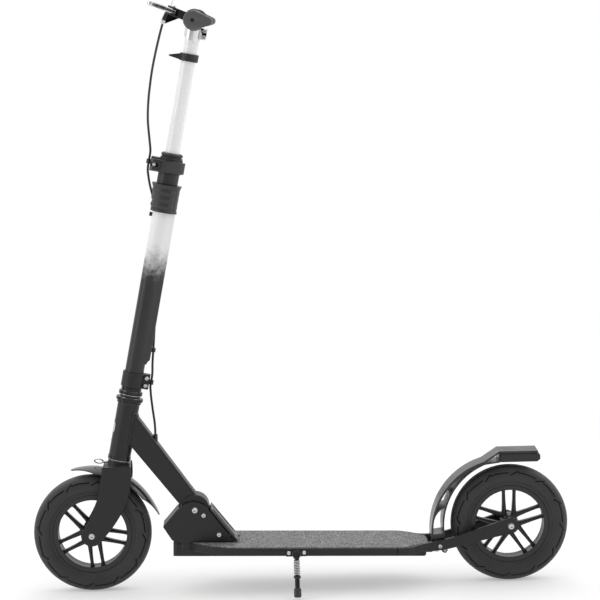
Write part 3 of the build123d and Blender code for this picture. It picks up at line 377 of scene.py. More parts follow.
HEAD_RADIUS = 0.019
TUBE_HALF = 0.015
TUBE_TOP = (Vector((-0.181, 0, 0.166)), Vector((-0.290, 0, 0.3203)))
TUBE_BOTTOM = (Vector((-0.211, 0, 0.150)), Vector((-0.300, 0, 0.2644)))


def head_seam(angle, edge):
    """Where an edge line of the down tube meets the head tube, at an angle round the tube."""
    start, end = edge
    run, normal = end - start, Vector((-(end - start).z, 0, (end - start).x))
    base = steer_point(HEAD_RADIUS * math.cos(angle), HEAD_RADIUS * math.sin(angle), 0)
    along = normal.dot(start - base) / normal.dot(STEER_AXIS)
    return base + STEER_AXIS * along


def bead(path, radius, ripples, closed=False):
    """A row of overlapping weld puddles along a path."""
    radii = [radius * (0.86 + 0.22 * abs(math.sin(math.pi * ripples * i / len(path))))
             for i in range(len(path))]
    return tube(path, radii, 8, closed)


seam_angle = math.asin(TUBE_HALF / HEAD_RADIUS)
angles = [seam_angle * (k / 12 - 1) for k in range(25)]
over = [head_seam(a, TUBE_TOP) for a in angles]
under = [head_seam(a, TUBE_BOTTOM) for a in reversed(angles)]
down_side = [over[-1].lerp(under[0], k / 24) for k in range(1, 24)]
up_side = [under[-1].lerp(over[0], k / 24) for k in range(1, 24)]
piece("weld_head_tube", [bead(over + down_side + under + up_side, 0.0024, 26, True)],
      black_coat, "neck", sharp=80)

# ---- Head badge -----------------------------------------------------------------------------
# A small curved plate of bright metal on the front of the head tube, plain and unmarked, held
# by a rivet at its lower end.
badge_metal = finish("badge_bright_metal", "bright_alloy", 0.62, 0.75, 0.24, grain=2400.0,
                     depth=0.00001, wear=0.1, dust=0.05, Metallic=1.0)
BADGE_LOW, BADGE_HIGH, BADGE_SPREAD = 0.281, 0.303, math.radians(34)
BADGE_FACE, BADGE_BACK = 0.0197, 0.0188         # radii about the steering axis
RIVET_HEIGHT = 0.268
badge_rings = []
for k in range(17):
    along = BADGE_LOW + (BADGE_HIGH - BADGE_LOW) * k / 16
    spread = BADGE_SPREAD * math.sqrt(max(0.02, 1 - (k / 8 - 1) ** 4))
    arc = [math.pi + spread * (m / 8 - 1) for m in range(17)]
    badge_rings.append([steer_point(r * math.cos(a), r * math.sin(a), along)
                        for r, run in ((BADGE_FACE, arc), (BADGE_BACK, arc[::-1])) for a in run])
rivet_foot = steer_point(-BADGE_BACK, 0, RIVET_HEIGHT)
rivet = [[rivet_foot + STEER_AXIS * (r * math.cos(a)) + SIDEWAYS * (r * math.sin(a)) - STEER_BACK * rise
          for a in (2 * math.pi * k / 24 for k in range(24))]
         for r, rise in ((0.0022, 0.0), (0.0022, 0.0006), (0.0014, 0.0013), (0.0004, 0.0015))]
piece("head_badge", [skin(badge_rings), skin(rivet)], badge_metal, "neck", sharp=50)

# ---- Headset --------------------------------------------------------------------------------
# Pressed cups at both ends of the head tube, ball rings in them, and a dust cover, spacers and
# locknut stacked above. The cups are black, the turned faces of the stack show bright lines.
bright_alloy = finish("tumbled_bright_alloy", "bright_alloy", 0.60, 0.80, 0.27, grain=1300.0,
                      depth=0.00002, wear=0.4, dust=0.06, variation=0.10, Metallic=1.0)
dark_steel = finish("blackened_steel", "black_satin_metal", 0.030, 0.42, 0.26, grain=1100.0,
                    depth=0.00002, wear=0.95, dust=0.05, reach=0.0012, Metallic=0.9)
for node in ("headset_cups", "headset_stack"):
    formed(node, dark_steel, 0.0004)
dress("headset_bearings", bright_alloy)
piece("headset_bright_rings",
      [skin([steer_ring(r, s) for r, s in ((radius - 0.0012, low), (radius, low + 0.0002),
                                           (radius, low + 0.0007), (radius - 0.0012, low + 0.0009))])
       for radius, low in ((0.0186, 0.3468), (0.0208, 0.3522), (0.0181, 0.3581), (0.0202, 0.2358))],
      bright_alloy, "steering", sharp=50)

# ---- Folding hinge --------------------------------------------------------------------------
# A folded bracket of 4 mm plate welded to the deck, the foot pedal that locks the knuckle in
# it, the fold bolt with its nut and washers, and two button screws in each cheek.
formed("hinge_bracket", black_coat, 0.0010)
pedal_paint = finish("satin_black_pedal", "black_satin_metal", 0.013, 0.16, 0.34, grain=1500.0,
                     depth=0.00004, wear=0.7, dust=0.22)
formed("release_pedal", pedal_paint, 0.0007)
PEDAL_TOP = Vector((-0.1571, 0, 0.1458))
PEDAL_FOOT = Vector((-0.1116, 0, 0.0874))
slope = (PEDAL_FOOT - PEDAL_TOP).normalized()
outward = Vector((-slope.z, 0, slope.x))
ridges = []
for across in (-0.0175, -0.0145, 0.0145, 0.0175):
    start, end = PEDAL_TOP.lerp(PEDAL_FOOT, 0.07), PEDAL_TOP.lerp(PEDAL_FOOT, 0.90)
    ridges.append(tube([start.lerp(end, k / 10) + SIDEWAYS * across + outward * 0.0001
                        for k in range(11)], [0.0002] + [0.0007] * 9 + [0.0002], 8))
piece("pedal_ridges", ridges, pedal_paint, "release_pedal", sharp=80)
zinc_steel = finish("zinc_plated_steel", "bolt_steel", 0.55, 0.72, 0.25, grain=1800.0,
                    depth=0.00002, wear=0.5, dust=0.08, reach=0.0007, variation=0.22, Metallic=1.0)
for node in ("fold_bolt", "deck_screws"):
    formed(node, zinc_steel, 0.00025)

# ---- Deck -----------------------------------------------------------------------------------
# A pressed plate with a folded rail, a box beam under it closed by a moulded nose cap, and two
# flat stays that carry the rear axle.
for node, corner in (("deck_plate", 0.0009), ("deck_beam", 0.0008), ("rear_stays", 0.0010)):
    formed(node, black_coat, corner)
black_plastic = finish("moulded_black_plastic", "black_plastic", 0.013, 0.06, 0.46, grain=700.0,
                       depth=0.00004, wear=0.25, dust=0.14)
formed("deck_nose", black_plastic, 0.0008)

# ---- Grip tape ------------------------------------------------------------------------------
# Silicon carbide grit on a dark film, stuck on the deck and cut out round the hinge. Grains
# stand proud, random grains are painted light grey as painted glints, and soles have greyed the middle.
grit_tape = finish("carbide_grit_tape", "grip_tape", 0.056, 0.16, 0.62, grain=900.0,
                   depth=0.0004, wear=0.5, dust=0.25, variation=0.12)
tree = grit_tape.node_tree
shader = tree.nodes["Principled BSDF"]
where = add(tree, "ShaderNodeTexCoord").outputs["Object"]
grit = add(tree, "ShaderNodeTexVoronoi", {"Vector": where, "Scale": 700.0, "Randomness": 1.0})
# Random grit grains are painted light grey: painted glints standing in for grains that catch the light.
grit_painted_glint = ramp(tree, add(tree, "ShaderNodeSeparateColor", {0: grit.outputs["Color"]}).outputs[0],
                   0.55, 0.95)
under_grit = shader.inputs["Base Color"].links[0].from_socket
tree.links.new(mixed(tree, grit_painted_glint, under_grit, grey(0.31)), shader.inputs["Base Color"])
grit_bump = add(tree, "ShaderNodeBump", {"Strength": 0.9, "Distance": 0.0004,
                                         "Height": grit.outputs["Distance"]})
tree.links.new(grit_bump.outputs[0], shader.inputs["Normal"])
dress("grip_tape", grit_tape)

# ---- Fork -----------------------------------------------------------------------------------
# Two flat forged blades on a crown block that is hollowed over the mudguard, on a steel
# steerer, all in the same satin black coat.
formed("fork_blades", black_coat, 0.0014)
formed("fork_crown", black_coat, 0.0010)
drawn_steel = finish("plain_drawn_steel", "steel_tube", 0.38, 0.55, 0.30, grain=1400.0,
                     depth=0.00002, wear=0.3, dust=0.05, Metallic=1.0)
dress("steerer_tube", drawn_steel)
dress("steerer_shim", drawn_steel)

# ---- Front mudguard and strap ring ----------------------------------------------------------
# A crowned guard of glossy black plastic, drawn to a point at both ends, screwed up into the
# crown. In front of the headset a wire ring takes a carrying strap.
gloss_plastic = finish("glossy_black_plastic", "black_plastic", 0.012, 0.05, 0.24, grain=500.0,
                       depth=0.00002, wear=0.2, dust=0.12, Coat_Weight=0.3)
front_low, front_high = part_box("front_tyre")
FRONT_HUB = (front_low + front_high) / 2
rear_low, rear_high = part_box("rear_tyre")
REAR_HUB = (rear_low + rear_high) / 2
GUARD_TOP, GUARD_HALF, GUARD_THICK, GUARD_CROWN = 0.1173, 0.0222, 0.0021, 0.0078
GUARD_START, GUARD_END = math.radians(13.5), math.radians(107.5)
GUARD_TAPER = math.radians(21)
GUARD_FLARE = math.radians(30)


def hub_point(hub, radius, angle, across):
    """A place by its radius, its angle up from the rear, and its distance across the wheel."""
    return hub + Vector((radius * math.cos(angle), across, radius * math.sin(angle)))


guard_rings = []
for k in range(81):
    angle = GUARD_START + (GUARD_END - GUARD_START) * k / 80
    from_tip = max(0.0, min(angle - GUARD_START, GUARD_END - angle)) / GUARD_TAPER
    half = max(0.0006, GUARD_HALF * min(1.0, from_tip) ** 0.62)
    flare = 0.0035 * max(0.0, 1 - (angle - GUARD_START) / GUARD_FLARE) ** 2
    outer, inner = [], []
    for m in range(17):
        across = half * (m / 8 - 1)
        share = across / GUARD_HALF
        radius = GUARD_TOP + flare - GUARD_CROWN * (0.35 * share ** 2 + 0.65 * share ** 4)
        outer.append(hub_point(FRONT_HUB, radius, angle, across))
        inner.append(hub_point(FRONT_HUB, radius - GUARD_THICK, angle, across * 0.97))
    guard_rings.append(outer + inner[::-1])
piece("mudguard_shell", [skin(guard_rings)], gloss_plastic, "steering", ["front_mudguard"], sharp=50)
ring_centre, ring_axis = Vector((-0.350, 0, 0.2285)), Vector((0.1, 0.70, 0.85)).normalized()
ring_across = ring_axis.orthogonal().normalized()
ring_other = ring_axis.cross(ring_across)
ring_path = [ring_centre + 0.0075 * (ring_across * math.cos(a) + ring_other * math.sin(a))
             for a in (2 * math.pi * k / 48 for k in range(48))]
lug_path = [Vector((-0.3433 + 0.0085 * k / 6, 0, 0.2268 + 0.0004 * k / 6)) for k in range(7)]
piece("strap_wire_ring", [tube(ring_path, 0.0012, 10, True),
                          tube(lug_path, [0.0010, 0.0019, 0.0022, 0.0017, 0.0017, 0.0021, 0.0021], 14)],
      zinc_steel, "steering", ["strap_ring"], sharp=50)

# ---- Tyres ----------------------------------------------------------------------------------
# Fat tyres of black rubber with a rounded crown. The shoulder has twelve long grooves, each
# ended by a slanted one, small cross cuts outside them, and a rib near the rim.
tyre_rubber = finish("moulded_tyre_rubber", "tyre_rubber", 0.021, 0.045, 0.58, grain=600.0,
                     depth=0.00006, wear=0.15, dust=0.10, variation=0.25)
tree = tyre_rubber.node_tree
shader = tree.nodes["Principled BSDF"]
around = add(tree, "ShaderNodeSeparateXYZ",
             {0: add(tree, "ShaderNodeTexCoord").outputs["UV"]}).outputs
cuts = maths(tree, "SINE", maths(tree, "MULTIPLY", around["X"], 2 * math.pi * 168))
outer_band = maths(tree, "MULTIPLY", ramp(tree, around["Y"], 0.70, 0.76),
                   ramp(tree, around["Y"], 0.93, 0.88))
height = maths(tree, "MULTIPLY", ramp(tree, cuts, -0.2, 0.5), outer_band)
band_bump = add(tree, "ShaderNodeBump", {"Strength": 0.8, "Distance": 0.0005, "Height": height,
                                         "Normal": shader.inputs["Normal"].links[0].from_socket})
tree.links.new(band_bump.outputs[0], shader.inputs["Normal"])
# The outer band and the crown are painted a lighter grey.
lighter_towards_crown = maths(tree, "MULTIPLY", ramp(tree, around["Y"], 0.62, 0.80), 0.75)
tree.links.new(mixed(tree, lighter_towards_crown, shader.inputs["Base Color"].links[0].from_socket, grey(0.062)),
               shader.inputs["Base Color"])
# The grooves are painted near black in proportion to their depth: painted shade in the tread's
# recesses.
groove_painted_shade = add(tree, "ShaderNodeAttribute", attribute_name="tread_cut").outputs["Fac"]
tree.links.new(mixed(tree, maths(tree, "MULTIPLY", groove_painted_shade, 0.85),
                     shader.inputs["Base Color"].links[0].from_socket, grey(0.003)),
               shader.inputs["Base Color"])

TREAD_REPEATS = 12
TYRE_STEPS = 576
SECTION_STEPS = 96
GROOVE_DEPTH = 0.0028


def bump_at(value, middle, reach):
    """A rounded rise that is one at the middle and nothing beyond its reach."""
    away = abs(value - middle) / reach
    return (1 - away * away) ** 2 if away < 1 else 0.0


def tread_cut(turn, radius, across):
    """How deep the tread is cut at a place, in metres."""
    phase = turn * TREAD_REPEATS + (0.5 if across > 0 else 0.0)
    phase -= math.floor(phase)
    cut = 0.0
    if abs(across) > 0.006:
        if phase < 0.74:
            ends = min(1.0, phase / 0.04, (0.74 - phase) / 0.04)
            cut = ends * bump_at(radius, 0.0915 + 0.0016 * phase, 0.0013)
        slanted = (phase - 0.66) / 0.34
        if 0 < slanted < 1:
            ends = min(1.0, slanted / 0.12, (1 - slanted) / 0.12)
            cut = max(cut, ends * bump_at(radius, 0.0965 - 0.0100 * slanted, 0.0017))
    wave = 0.0016 * math.sin(2 * math.pi * turn * TREAD_REPEATS * 2)
    cut = max(cut, 0.8 * bump_at(across, wave, 0.0012))
    return GROOVE_DEPTH * cut


def tyre_section():
    """Half turn of the tyre's outside as (radius, across), from bead to bead."""
    points = [(0.0655, -0.0106), (0.0688, -0.0124), (0.0690, -0.0149)]
    for k in range(SECTION_STEPS + 1):
        angle = math.radians(-42 + 264 * k / SECTION_STEPS)
        side, up = math.cos(angle), math.sin(angle)
        across = -0.0198 * math.copysign(abs(side) ** 0.80, side)
        lift = 0.0185 if up > 0 else 0.0148
        points.append((0.0840 + lift * math.copysign(abs(up) ** 0.92, up), across))
    return points + [(0.0690, 0.0149), (0.0688, 0.0124), (0.0655, 0.0106)]


def tyre(name, node, hub):
    section = tyre_section()
    rings, shares = [], []
    for i in range(TYRE_STEPS):
        turn = i / TYRE_STEPS
        ring = []
        for radius, across in section:
            rib = 0.0005 * bump_at(radius, 0.0752, 0.0010)
            depth = tread_cut(turn, radius, across) if radius > 0.085 else -rib
            shares.append(max(0.0, depth / GROOVE_DEPTH))
            outward = Vector(((radius - 0.084) / 0.0185, across / 0.0198)).normalized()
            ring.append(hub_point(hub, radius - depth * outward.x, 2 * math.pi * turn,
                                  across - depth * outward.y))
        rings.append(ring)
    made = piece(name, [skin(rings, run_closed=True)], tyre_rubber, nodes[node]["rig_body"], [node],
                 sharp=60)
    # Each point keeps how deeply it is cut, and the tyre paint turns this into painted shade in the
    # grooves.
    shade = made.data.color_attributes.new("tread_cut", "FLOAT_COLOR", "POINT")
    for place, share in zip(shade.data, shares):
        place.color = (share, share, share, 1.0)
    wrap = made.data.uv_layers.new(name="round_the_tyre")
    count = len(section)
    for polygon in made.data.polygons:
        seam = {v // count for v in polygon.vertices} == {0, TYRE_STEPS - 1}
        for corner, vertex in zip(polygon.loop_indices, polygon.vertices):
            ring_number, step = divmod(vertex, count)
            turn = 1.0 if seam and ring_number == 0 else ring_number / TYRE_STEPS
            half_way = min(step, count - 1 - step) / (count / 2)
            wrap.data[corner].uv = (turn, half_way)
    return made


tyre("tyre_front", "front_tyre", FRONT_HUB)
tyre("tyre_rear", "rear_tyre", REAR_HUB)

# ---- Rims, bearings and front axle ----------------------------------------------------------
# Cast wheels in satin black: a barrel with two lips, a hub with bearing seats, and five pairs
# of ridged spokes. The bearings are bright, and a bolt with a nut holds each wheel.
rim_paint = finish("satin_black_cast_rim", "cast_rim", 0.010, 0.07, 0.36, grain=800.0,
                   depth=0.00005, wear=0.4, dust=0.08)
BARREL = [(0.0600, -0.0148), (0.0612, -0.0150), (0.0680, -0.0150), (0.0689, -0.0141),
          (0.0689, -0.0120), (0.0652, -0.0106), (0.0640, 0.0), (0.0652, 0.0106), (0.0689, 0.0120),
          (0.0689, 0.0141), (0.0680, 0.0150), (0.0612, 0.0150), (0.0600, 0.0148), (0.0597, 0.0138),
          (0.0610, 0.0080), (0.0612, 0.0), (0.0610, -0.0080), (0.0597, -0.0138)]
HUB = [(0.0085, -0.0100), (0.0110, -0.0100), (0.0110, -0.0170), (0.0132, -0.0170),
       (0.0142, -0.0160), (0.0160, -0.0090), (0.0162, 0.0), (0.0160, 0.0090), (0.0142, 0.0160),
       (0.0132, 0.0170), (0.0110, 0.0170), (0.0110, 0.0100), (0.0085, 0.0100)]
SPOKE_RUN = [(0.0118, 0.0052, 0.0082), (0.0150, 0.0046, 0.0084), (0.0220, 0.0038, 0.0086),
             (0.0380, 0.0030, 0.0090), (0.0520, 0.0027, 0.0093), (0.0575, 0.0031, 0.0094),
             (0.0612, 0.0044, 0.0095)]          # radius, half width, offset from the pair's middle


def rim(name, node, hub, first_angle):
    def lathe(section, steps):
        return skin([[hub_point(hub, r, 2 * math.pi * k / steps, y) for r, y in section]
                     for k in range(steps)], run_closed=True)

    skins = [lathe(BARREL, 120), lathe(HUB, 64)]
    for pair in range(5):
        angle = math.radians(first_angle + 72 * pair)
        out = Vector((math.cos(angle), 0, math.sin(angle)))
        aside = Vector((-math.sin(angle), 0, math.cos(angle)))
        for side in (1, -1):
            rings = []
            for radius, half, offset in SPOKE_RUN:
                section = [(-1, 0.0042), (-0.55, 0.0060), (-0.28, 0.0074), (0.28, 0.0074),
                           (0.55, 0.0060), (1, 0.0042)]
                section += [(w, -y) for w, y in reversed(section)]
                rings.append([hub + out * radius + aside * (side * offset + w * half) + SIDEWAYS * y
                              for w, y in section])
            skins.append(skin(rings))
    return piece(name, skins, rim_paint, nodes[node]["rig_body"], [node], broken=0.0004, sharp=24)


rim("rim_front", "front_rim", FRONT_HUB, 60.5)
rim("rim_rear", "rear_rim", REAR_HUB, 90.0)
for node in ("front_bearings", "rear_bearings"):
    dress(node, bright_alloy)
for node in ("front_axle", "rear_bolts", "steering_screws"):
    formed(node, zinc_steel, 0.0003)

# ---- Stem -----------------------------------------------------------------------------------
# An extruded alloy stem, round in front with a keel behind. It is white at the top and is
# sprayed black from below, so the two meet in a speckled fade.
FADE_WHITE = 0.622          # distance along the steering axis at which the white is clean
FADE_BLACK = 0.553
stem_paint = finish("white_to_black_stem", "white_to_black_stem", 0.012, 0.085, 0.36,
                    grain=1500.0, depth=0.00004, wear=0.35, dust=0.08)
tree = stem_paint.node_tree
shader = tree.nodes["Principled BSDF"]
where = add(tree, "ShaderNodeTexCoord").outputs["Object"]
along = add(tree, "ShaderNodeVectorMath", {0: where, 1: STEER_AXIS}, operation="DOT_PRODUCT")
foot = STEER_FOOT.dot(STEER_AXIS)
level_up = maths(tree, "SUBTRACT", along.outputs["Value"], foot)
spray = add(tree, "ShaderNodeTexNoise", {"Vector": where, "Scale": 95.0, "Detail": 8.0,
                                         "Roughness": 0.66}).outputs["Fac"]
mist = add(tree, "ShaderNodeTexNoise", {"Vector": where, "Scale": 900.0, "Detail": 2.0}).outputs["Fac"]
drift = maths(tree, "ADD", maths(tree, "MULTIPLY", spray, 0.060), maths(tree, "MULTIPLY", mist, 0.030))
edge = maths(tree, "SUBTRACT", level_up, maths(tree, "SUBTRACT", drift, 0.045))
whiteness = ramp(tree, edge, FADE_BLACK, FADE_WHITE)
tree.links.new(mixed(tree, whiteness, shader.inputs["Base Color"].links[0].from_socket, grey(0.80)),
               shader.inputs["Base Color"])
dress("stem_tube", stem_paint)
formed("stem_clamp", black_coat, 0.0008)
CLIP_PLACE = 0.4300
clip_rings = [steer_ring(r, s, 32, 0.0256, 0.0086) for r, s in
              ((0.0026, CLIP_PLACE), (0.0041, CLIP_PLACE + 0.0008), (0.0041, CLIP_PLACE + 0.0072),
               (0.0026, CLIP_PLACE + 0.008))]
CLIP_FOOT = ((0, -0.004, 0.0005), (0.006, -0.002, 0.0015), (0.006, 0.003, 0.0015), (0, 0.004, 0.0005))
clip_foot = [[steer_point(0.0175 + out, 0.0055 + w, CLIP_PLACE + s + h) for out, w, s in CLIP_FOOT]
             for h in (0.0, 0.006)]
piece("stem_cable_clip", [skin(clip_rings), skin(clip_foot)], black_plastic, "steering",
      broken=0.0004)

# ---- Height clamp ---------------------------------------------------------------------------
# A ribbed rubber boot on the top of the stem, a plastic bush between the tubes, and a split
# collar that a cam lever closes. A small button below the boot locks the height.
boot_rubber = finish("ribbed_boot_rubber", "grip_rubber", 0.024, 0.05, 0.44, grain=1000.0,
                     depth=0.00004, wear=0.2, dust=0.10)
BOOT_LOW, BOOT_HIGH = 0.674, 0.722
BOOT_FACES = math.radians(232)      # the swellings are strongest at the front, on the left
BOOT_HEIGHT = BOOT_HIGH - BOOT_LOW


def boot_radius(angle, height):
    """The boot leans back at the bottom, flares at both ends and swells three times in front."""
    share = height / BOOT_HEIGHT
    front, rear = 0.0207 + 0.0030 * share, 0.0237
    radius = front + (rear - front) * (0.5 + 0.5 * math.cos(angle))
    radius += 0.0024 * max(0.0, (share - 0.80) / 0.20) ** 1.5
    radius += 0.0016 * max(0.0, 1 - share / 0.12) * (0.5 + 0.5 * math.cos(angle))
    if 0.10 < share < 0.86:
        swell = max(0.0, 0.5 + 0.5 * math.cos(angle - BOOT_FACES)) ** 1.4
        wave = math.sin(math.pi * 3 * (share - 0.10) / 0.76)
        radius += 0.0024 * swell * (wave * wave - 0.40)
        radius -= 0.0008 * bump_at(math.degrees(angle), 318, 9)
        radius += 0.0006 * bump_at(math.degrees(angle), 292, 5)
    return radius


boot_rings = [steer_ring(0.0203, BOOT_LOW, 96)]
for k in range(97):
    height = 0.0003 + (BOOT_HEIGHT - 0.0006) * k / 96
    boot_rings.append([steer_point(r * math.cos(a), r * math.sin(a), BOOT_LOW + height) for a, r in (
        (a, boot_radius(a, height)) for a in (2 * math.pi * m / 96 for m in range(96)))])
boot_rings.append(steer_ring(0.0203, BOOT_HIGH, 96))
piece("height_boot", [skin(boot_rings)], boot_rubber, "steering", ["ribbed_sleeve"], sharp=50)
formed("bush_sleeve", black_plastic, 0.0005)
formed("quick_release_collar", black_plastic, 0.0008)
formed("quick_release_lever", gloss_plastic, 0.0010)
formed("quick_release_rod", zinc_steel, 0.0006)
formed("height_button", black_plastic, 0.0006)

# ---- Telescopic tube, T head, bar and strap hook --------------------------------------------
# A white lacquered tube slides in the stem. On its top a cast and polished T piece, pinched
# by two screws, holds a black bar, and a plastic hook for the carrying strap clips below it.
white_lacquer = finish("gloss_white_lacquer", "white_gloss_tube", 0.86, 0.60, 0.22, grain=700.0,
                       depth=0.00001, wear=0.1, dust=0.10, variation=0.02, Coat_Weight=0.5)
dress("inner_tube", white_lacquer)
head_polish = finish("polished_cast_head", "bright_alloy", 0.80, 0.90, 0.25, grain=500.0,
                     depth=0.00001, wear=0.2, dust=0.03, variation=0.02, Metallic=0.85)
formed("stem_head", head_polish, 0.0014)
formed("handlebar_tube", black_coat, 0.0004)
formed("strap_hook", black_plastic, 0.0010)
formed("handlebar_screws", zinc_steel, 0.0003)

# ---- Grips ----------------------------------------------------------------------------------
# Soft moulded grips with a palm wing behind, a flange at the inner end, shallow rings round
# the middle, and a closed outer end with a vent hole.
grip_rubber = finish("soft_grip_rubber", "grip_rubber", 0.078, 0.12, 0.55, grain=1200.0,
                     depth=0.00006, wear=0.3, dust=0.10, variation=0.12)
bar_low, bar_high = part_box("handlebar_tube")
BAR_CENTRE = Vector(((bar_low.x + bar_high.x) / 2, 0, (bar_low.z + bar_high.z) / 2))
GRIP_END, GRIP_LENGTH = 0.250, 0.128
WING_TIP = (0.0240, -0.0032)


def grip_section(core, wing, station, steps=72):
    """A core circle drawn out to the wing's tip, as the hull of two circles."""
    ring = []
    for k in range(steps):
        a = 2 * math.pi * k / steps
        face = Vector((math.cos(a), math.sin(a)))
        tip = Vector(WING_TIP) * wing
        tip_radius = core + (0.0068 - core) * wing
        near, far = face * core, tip + face * tip_radius
        point = near if near.dot(face) > far.dot(face) else far
        ring.append(BAR_CENTRE + Vector((point.x, station, point.y)))
    return ring


grip_run = [(0.0, 0.0116, 0), (0.0, 0.0168, 0), (0.0008, 0.0180, 0), (0.0034, 0.0180, 0),
            (0.0044, 0.0163, 0), (0.0060, 0.0154, 0)]
for k in range(75):
    depth = 0.0080 + 0.114 * k / 74
    wing = min(1.0, max(0.0, (depth - 0.018) / 0.036))
    rings_here = 0.00035 * (0.5 + 0.5 * math.cos(2 * math.pi * depth / 0.005)) if depth < 0.108 else 0.0
    grip_run.append((depth, 0.0149 + rings_here * (1 - 0.6 * wing), wing * wing * (3 - 2 * wing)))
grip_run += [(0.1252, 0.0150, 1), (0.1272, 0.0145, 0.99), (0.1280, 0.0132, 0.96),
             (0.1280, 0.0085, 0.72),
             (0.1279, 0.0036, 0.0), (0.1276, 0.0032, 0.0), (0.1220, 0.0030, 0.0)]
grip_skins = []
for side in (-1, 1):
    grip_skins.append(skin([grip_section(core, wing, side * (GRIP_END - GRIP_LENGTH + depth))
                            for depth, core, wing in grip_run]))
piece("bar_grips", grip_skins, grip_rubber, "handlebar", ["handlebar_grips"], sharp=48)

# ---- Brake lever and perch ------------------------------------------------------------------
# A forked black clamp on the left of the bar, with a barrel for the cable, and a polished
# alloy lever that turns in the fork. The cable leaves the barrel through a bright adjuster.
formed("brake_perch", black_coat, 0.0007)
lever_polish = finish("polished_lever_alloy", "bright_alloy", 0.66, 0.80, 0.24, grain=1300.0,
                      depth=0.00001, wear=0.3, dust=0.03, variation=0.03, Metallic=1.0)
formed("brake_lever", lever_polish, 0.0018)
barrel_out = Vector((-0.45, 0.10, -0.89)).normalized()
barrel_start = Vector((BAR_CENTRE.x - 0.0445, -0.096, BAR_CENTRE.z + 0.013)) + barrel_out * 0.0135
adjuster = [barrel_start + barrel_out * d
            for d in (0.0, 0.0004, 0.0030, 0.0034, 0.0040, 0.0068, 0.0074)]
piece("cable_adjuster", [tube(adjuster, [0.0030, 0.0042, 0.0042, 0.0034, 0.0034, 0.0030, 0.0024], 18)],
      bright_alloy, "handlebar", sharp=30)

# ---- Brake cable ----------------------------------------------------------------------------
# One sheathed cable runs from the lever, through the collar's guide, round the stem's keel,
# through the clamp's guide, into the down tube and along the deck to its stop.
CABLE_RADIUS = 0.002
sheath = finish("glossy_cable_sheath", "cable_sheath", 0.009, 0.03, 0.30, grain=500.0,
                depth=0.00001, wear=0.1, dust=0.08)


def cable(corners, steps=10):
    """A cable's centreline: straight runs joined by easy bends at the corners."""
    path = [corners[0]]
    for before, here, after in zip(corners, corners[1:], corners[2:]):
        reach = 0.45 * min((here - before).length, (after - here).length)
        start = here + (before - here).normalized() * reach
        end = here + (after - here).normalized() * reach
        for k in range(steps + 1):
            t = k / steps
            path.append(start * (1 - t) ** 2 + here * (2 * t * (1 - t)) + end * t * t)
    return path + [corners[-1]]


upper_guide = steer_point(-0.0375, 0.007, 0.759)
lower_guide = steer_point(0.0315, 0.006, 0.374)
barrel_end = barrel_start + barrel_out * 0.0007
grommet = Vector((-0.2506, 0, 0.2684))
upper_route = [barrel_end] + [Vector(p) for p in (
    (-0.2185, -0.0915, 0.970), (-0.2262, -0.084, 0.943), (-0.236, -0.070, 0.904),
    (-0.244, -0.049, 0.857), (-0.2475, -0.027, 0.820))]
upper_route += [steer_point(-0.0425, -0.003, 0.793), steer_point(-0.0375, 0.007, 0.773), upper_guide]
middle_route = [upper_guide] + [steer_point(*p) for p in (
    (-0.0375, 0.007, 0.741), (-0.030, 0.021, 0.715), (-0.018, 0.031, 0.688), (-0.006, 0.0305, 0.650),
    (0.001, 0.0255, 0.608), (0.008, 0.022, 0.562), (0.0155, 0.0175, 0.515), (0.0215, 0.0125, 0.468),
    (0.025, 0.009, 0.440), (0.028, 0.007, 0.412), (0.0315, 0.006, 0.392))] + [lower_guide]
lower_route = [lower_guide, steer_point(0.0315, 0.006, 0.370), Vector((-0.2564, 0.005, 0.338)),
               Vector((-0.254, 0.0027, 0.316)), Vector((grommet.x, 0, 0.290)), grommet]
neck_route = [grommet] + [Vector((x, 0, z)) for x, z in (
    (-0.2506, 0.245), (-0.238, 0.220), (-0.220, 0.193), (-0.203, 0.168), (-0.199, 0.148),
    (-0.199, 0.122))]
deck_route = [Vector((x, 0, z)) for x, z in (
    (-0.199, 0.116), (-0.199, 0.089), (-0.188, 0.0735), (-0.168, 0.0705), (-0.132, 0.070),
    (-0.076, 0.0675), (-0.018, 0.067), (0.040, 0.0645), (0.098, 0.0635), (0.154, 0.060),
    (0.190, 0.0565), (0.2139, 0.056))]
for name, node, route, body in (("cable_along_stem", "cable_mid", middle_route, "steering"),
                                ("cable_in_down_tube", "cable_neck", neck_route, "neck"),
                                ("cable_in_deck", "cable_deck", deck_route, "deck")):
    piece(name, [tube(cable(route), CABLE_RADIUS)], sheath, body, [node], sharp=60)


def hanging_cable(name, node, route, lower_body):
    """A stretch of cable between two bodies, fixed to neither."""
    made = piece(name, [tube(cable(route), CABLE_RADIUS)], sheath, lower_body, [node], sharp=60)
    made.parent = None
    del made["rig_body"]
    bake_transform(made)


hanging_cable("cable_to_collar", "cable_upper", upper_route, "steering")
hanging_cable("cable_to_down_tube", "cable_lower", lower_route, "neck")
formed("cable_grommet", boot_rubber, 0.0004)

# ---- Rear fender brake ----------------------------------------------------------------------
# An extruded alloy fender with struts between its two bands, anodised black, turns on a bolt
# through the stays. A moulded block under its foot plate rubs the tyre, two coil springs lift
# it, and the brake wire pulls its arm.
fender_coat = finish("black_anodised_fender", "black_satin_metal", 0.011, 0.30, 0.31, grain=1500.0,
                     depth=0.00003, wear=0.5, dust=0.14)
formed("rear_fender", fender_coat, 0.0005)
formed("brake_shoe", black_plastic, 0.0018)
dress("brake_wire", drawn_steel)


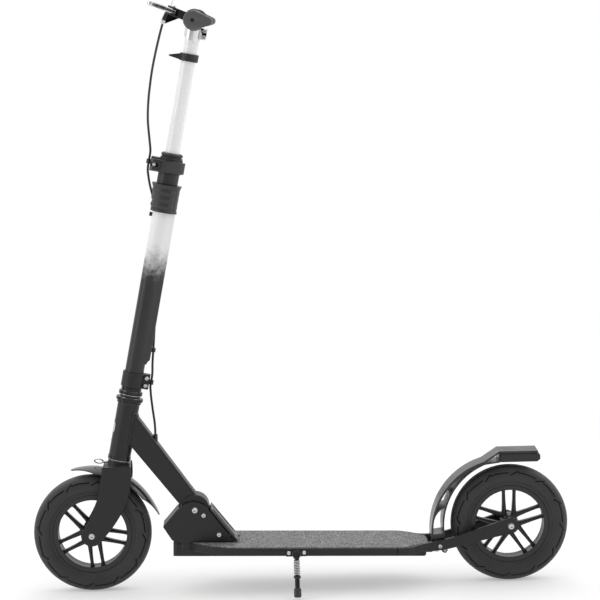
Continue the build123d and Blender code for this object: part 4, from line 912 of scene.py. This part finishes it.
def coil(centre, axis, radius, wire, pitch, turns, tails=0.0):
    """Skin of a coil spring that starts at the centre and runs along the axis."""
    axis = Vector(axis).normalized()
    across = axis.orthogonal().normalized()
    other = axis.cross(across)
    steps = int(turns * 22)
    path = []
    for k in range(steps + 1):
        a = 2 * math.pi * turns * k / steps
        out = across * math.cos(a) + other * math.sin(a)
        path.append(centre + out * radius + axis * (pitch * turns * k / steps))
    if tails:
        last = (path[-1] - path[-2]).normalized()
        path = [path[0] - other * tails] + path + [path[-1] + last * tails]
    return tube(path, wire, 8)


FENDER_PIVOT = Vector((0.240, 0, 0.070))
fender_low, fender_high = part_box("rear_fender")
piece("fender_springs",
      [coil(FENDER_PIVOT + SIDEWAYS * side * (fender_high.y + 0.0007), SIDEWAYS * side, 0.0054, 0.0006,
            0.0013, 1.6, 0.009) for side in (-1, 1)],
      zinc_steel, "rear_brake", ["fender_spring"], sharp=60)

# ---- Cable adjuster under the tail ----------------------------------------------------------
# The deck's cable ends in a knurled barrel screwed through its stop, with a lock nut, and a
# pinch bolt grips the bare wire behind it.
ADJUSTER_PLACE = Vector((0.2295, 0, 0.056))
barrel_run = [(0.0, 0.0026), (0.0003, 0.0040), (0.0022, 0.0040), (0.0025, 0.0027), (0.0034, 0.0027),
              (0.0037, 0.0036), (0.0105, 0.0036), (0.0112, 0.0022), (0.0118, 0.0010)]
KNURL = 0.00035
knurled = []
for run, radius in barrel_run:
    ridge = KNURL if radius == 0.0036 else 0.0
    knurled.append([ADJUSTER_PLACE + Vector((run, r * math.cos(a), r * math.sin(a))) for r, a in (
        (radius + ridge * (k % 2), 2 * math.pi * k / 32) for k in range(32))])
piece("tail_cable_adjuster", [skin(knurled)], bright_alloy, "deck", sharp=30)

# ---- Kickstand ------------------------------------------------------------------------------
# A plate bracket on the deck's left rail holds a steel leg on a slanted pin. A bright coil
# spring sits over the leg above a collar, and a rubber foot ends it.
formed("stand_bracket", black_coat, 0.0006)
formed("stand_leg", dark_steel, 0.0006)
formed("stand_foot", boot_rubber, 0.0016)
STAND_PIVOT = Vector((-0.011, -0.076, 0.073))
LEG_RUN = Vector((0, -0.399, -0.917)).normalized()
SPRING_START = STAND_PIVOT + LEG_RUN * 0.0102
piece("stand_coil_spring", [coil(SPRING_START, LEG_RUN, 0.00485, 0.0008, 0.0028, 9.0)],
      bright_alloy, "kickstand", ["stand_spring"], sharp=60)
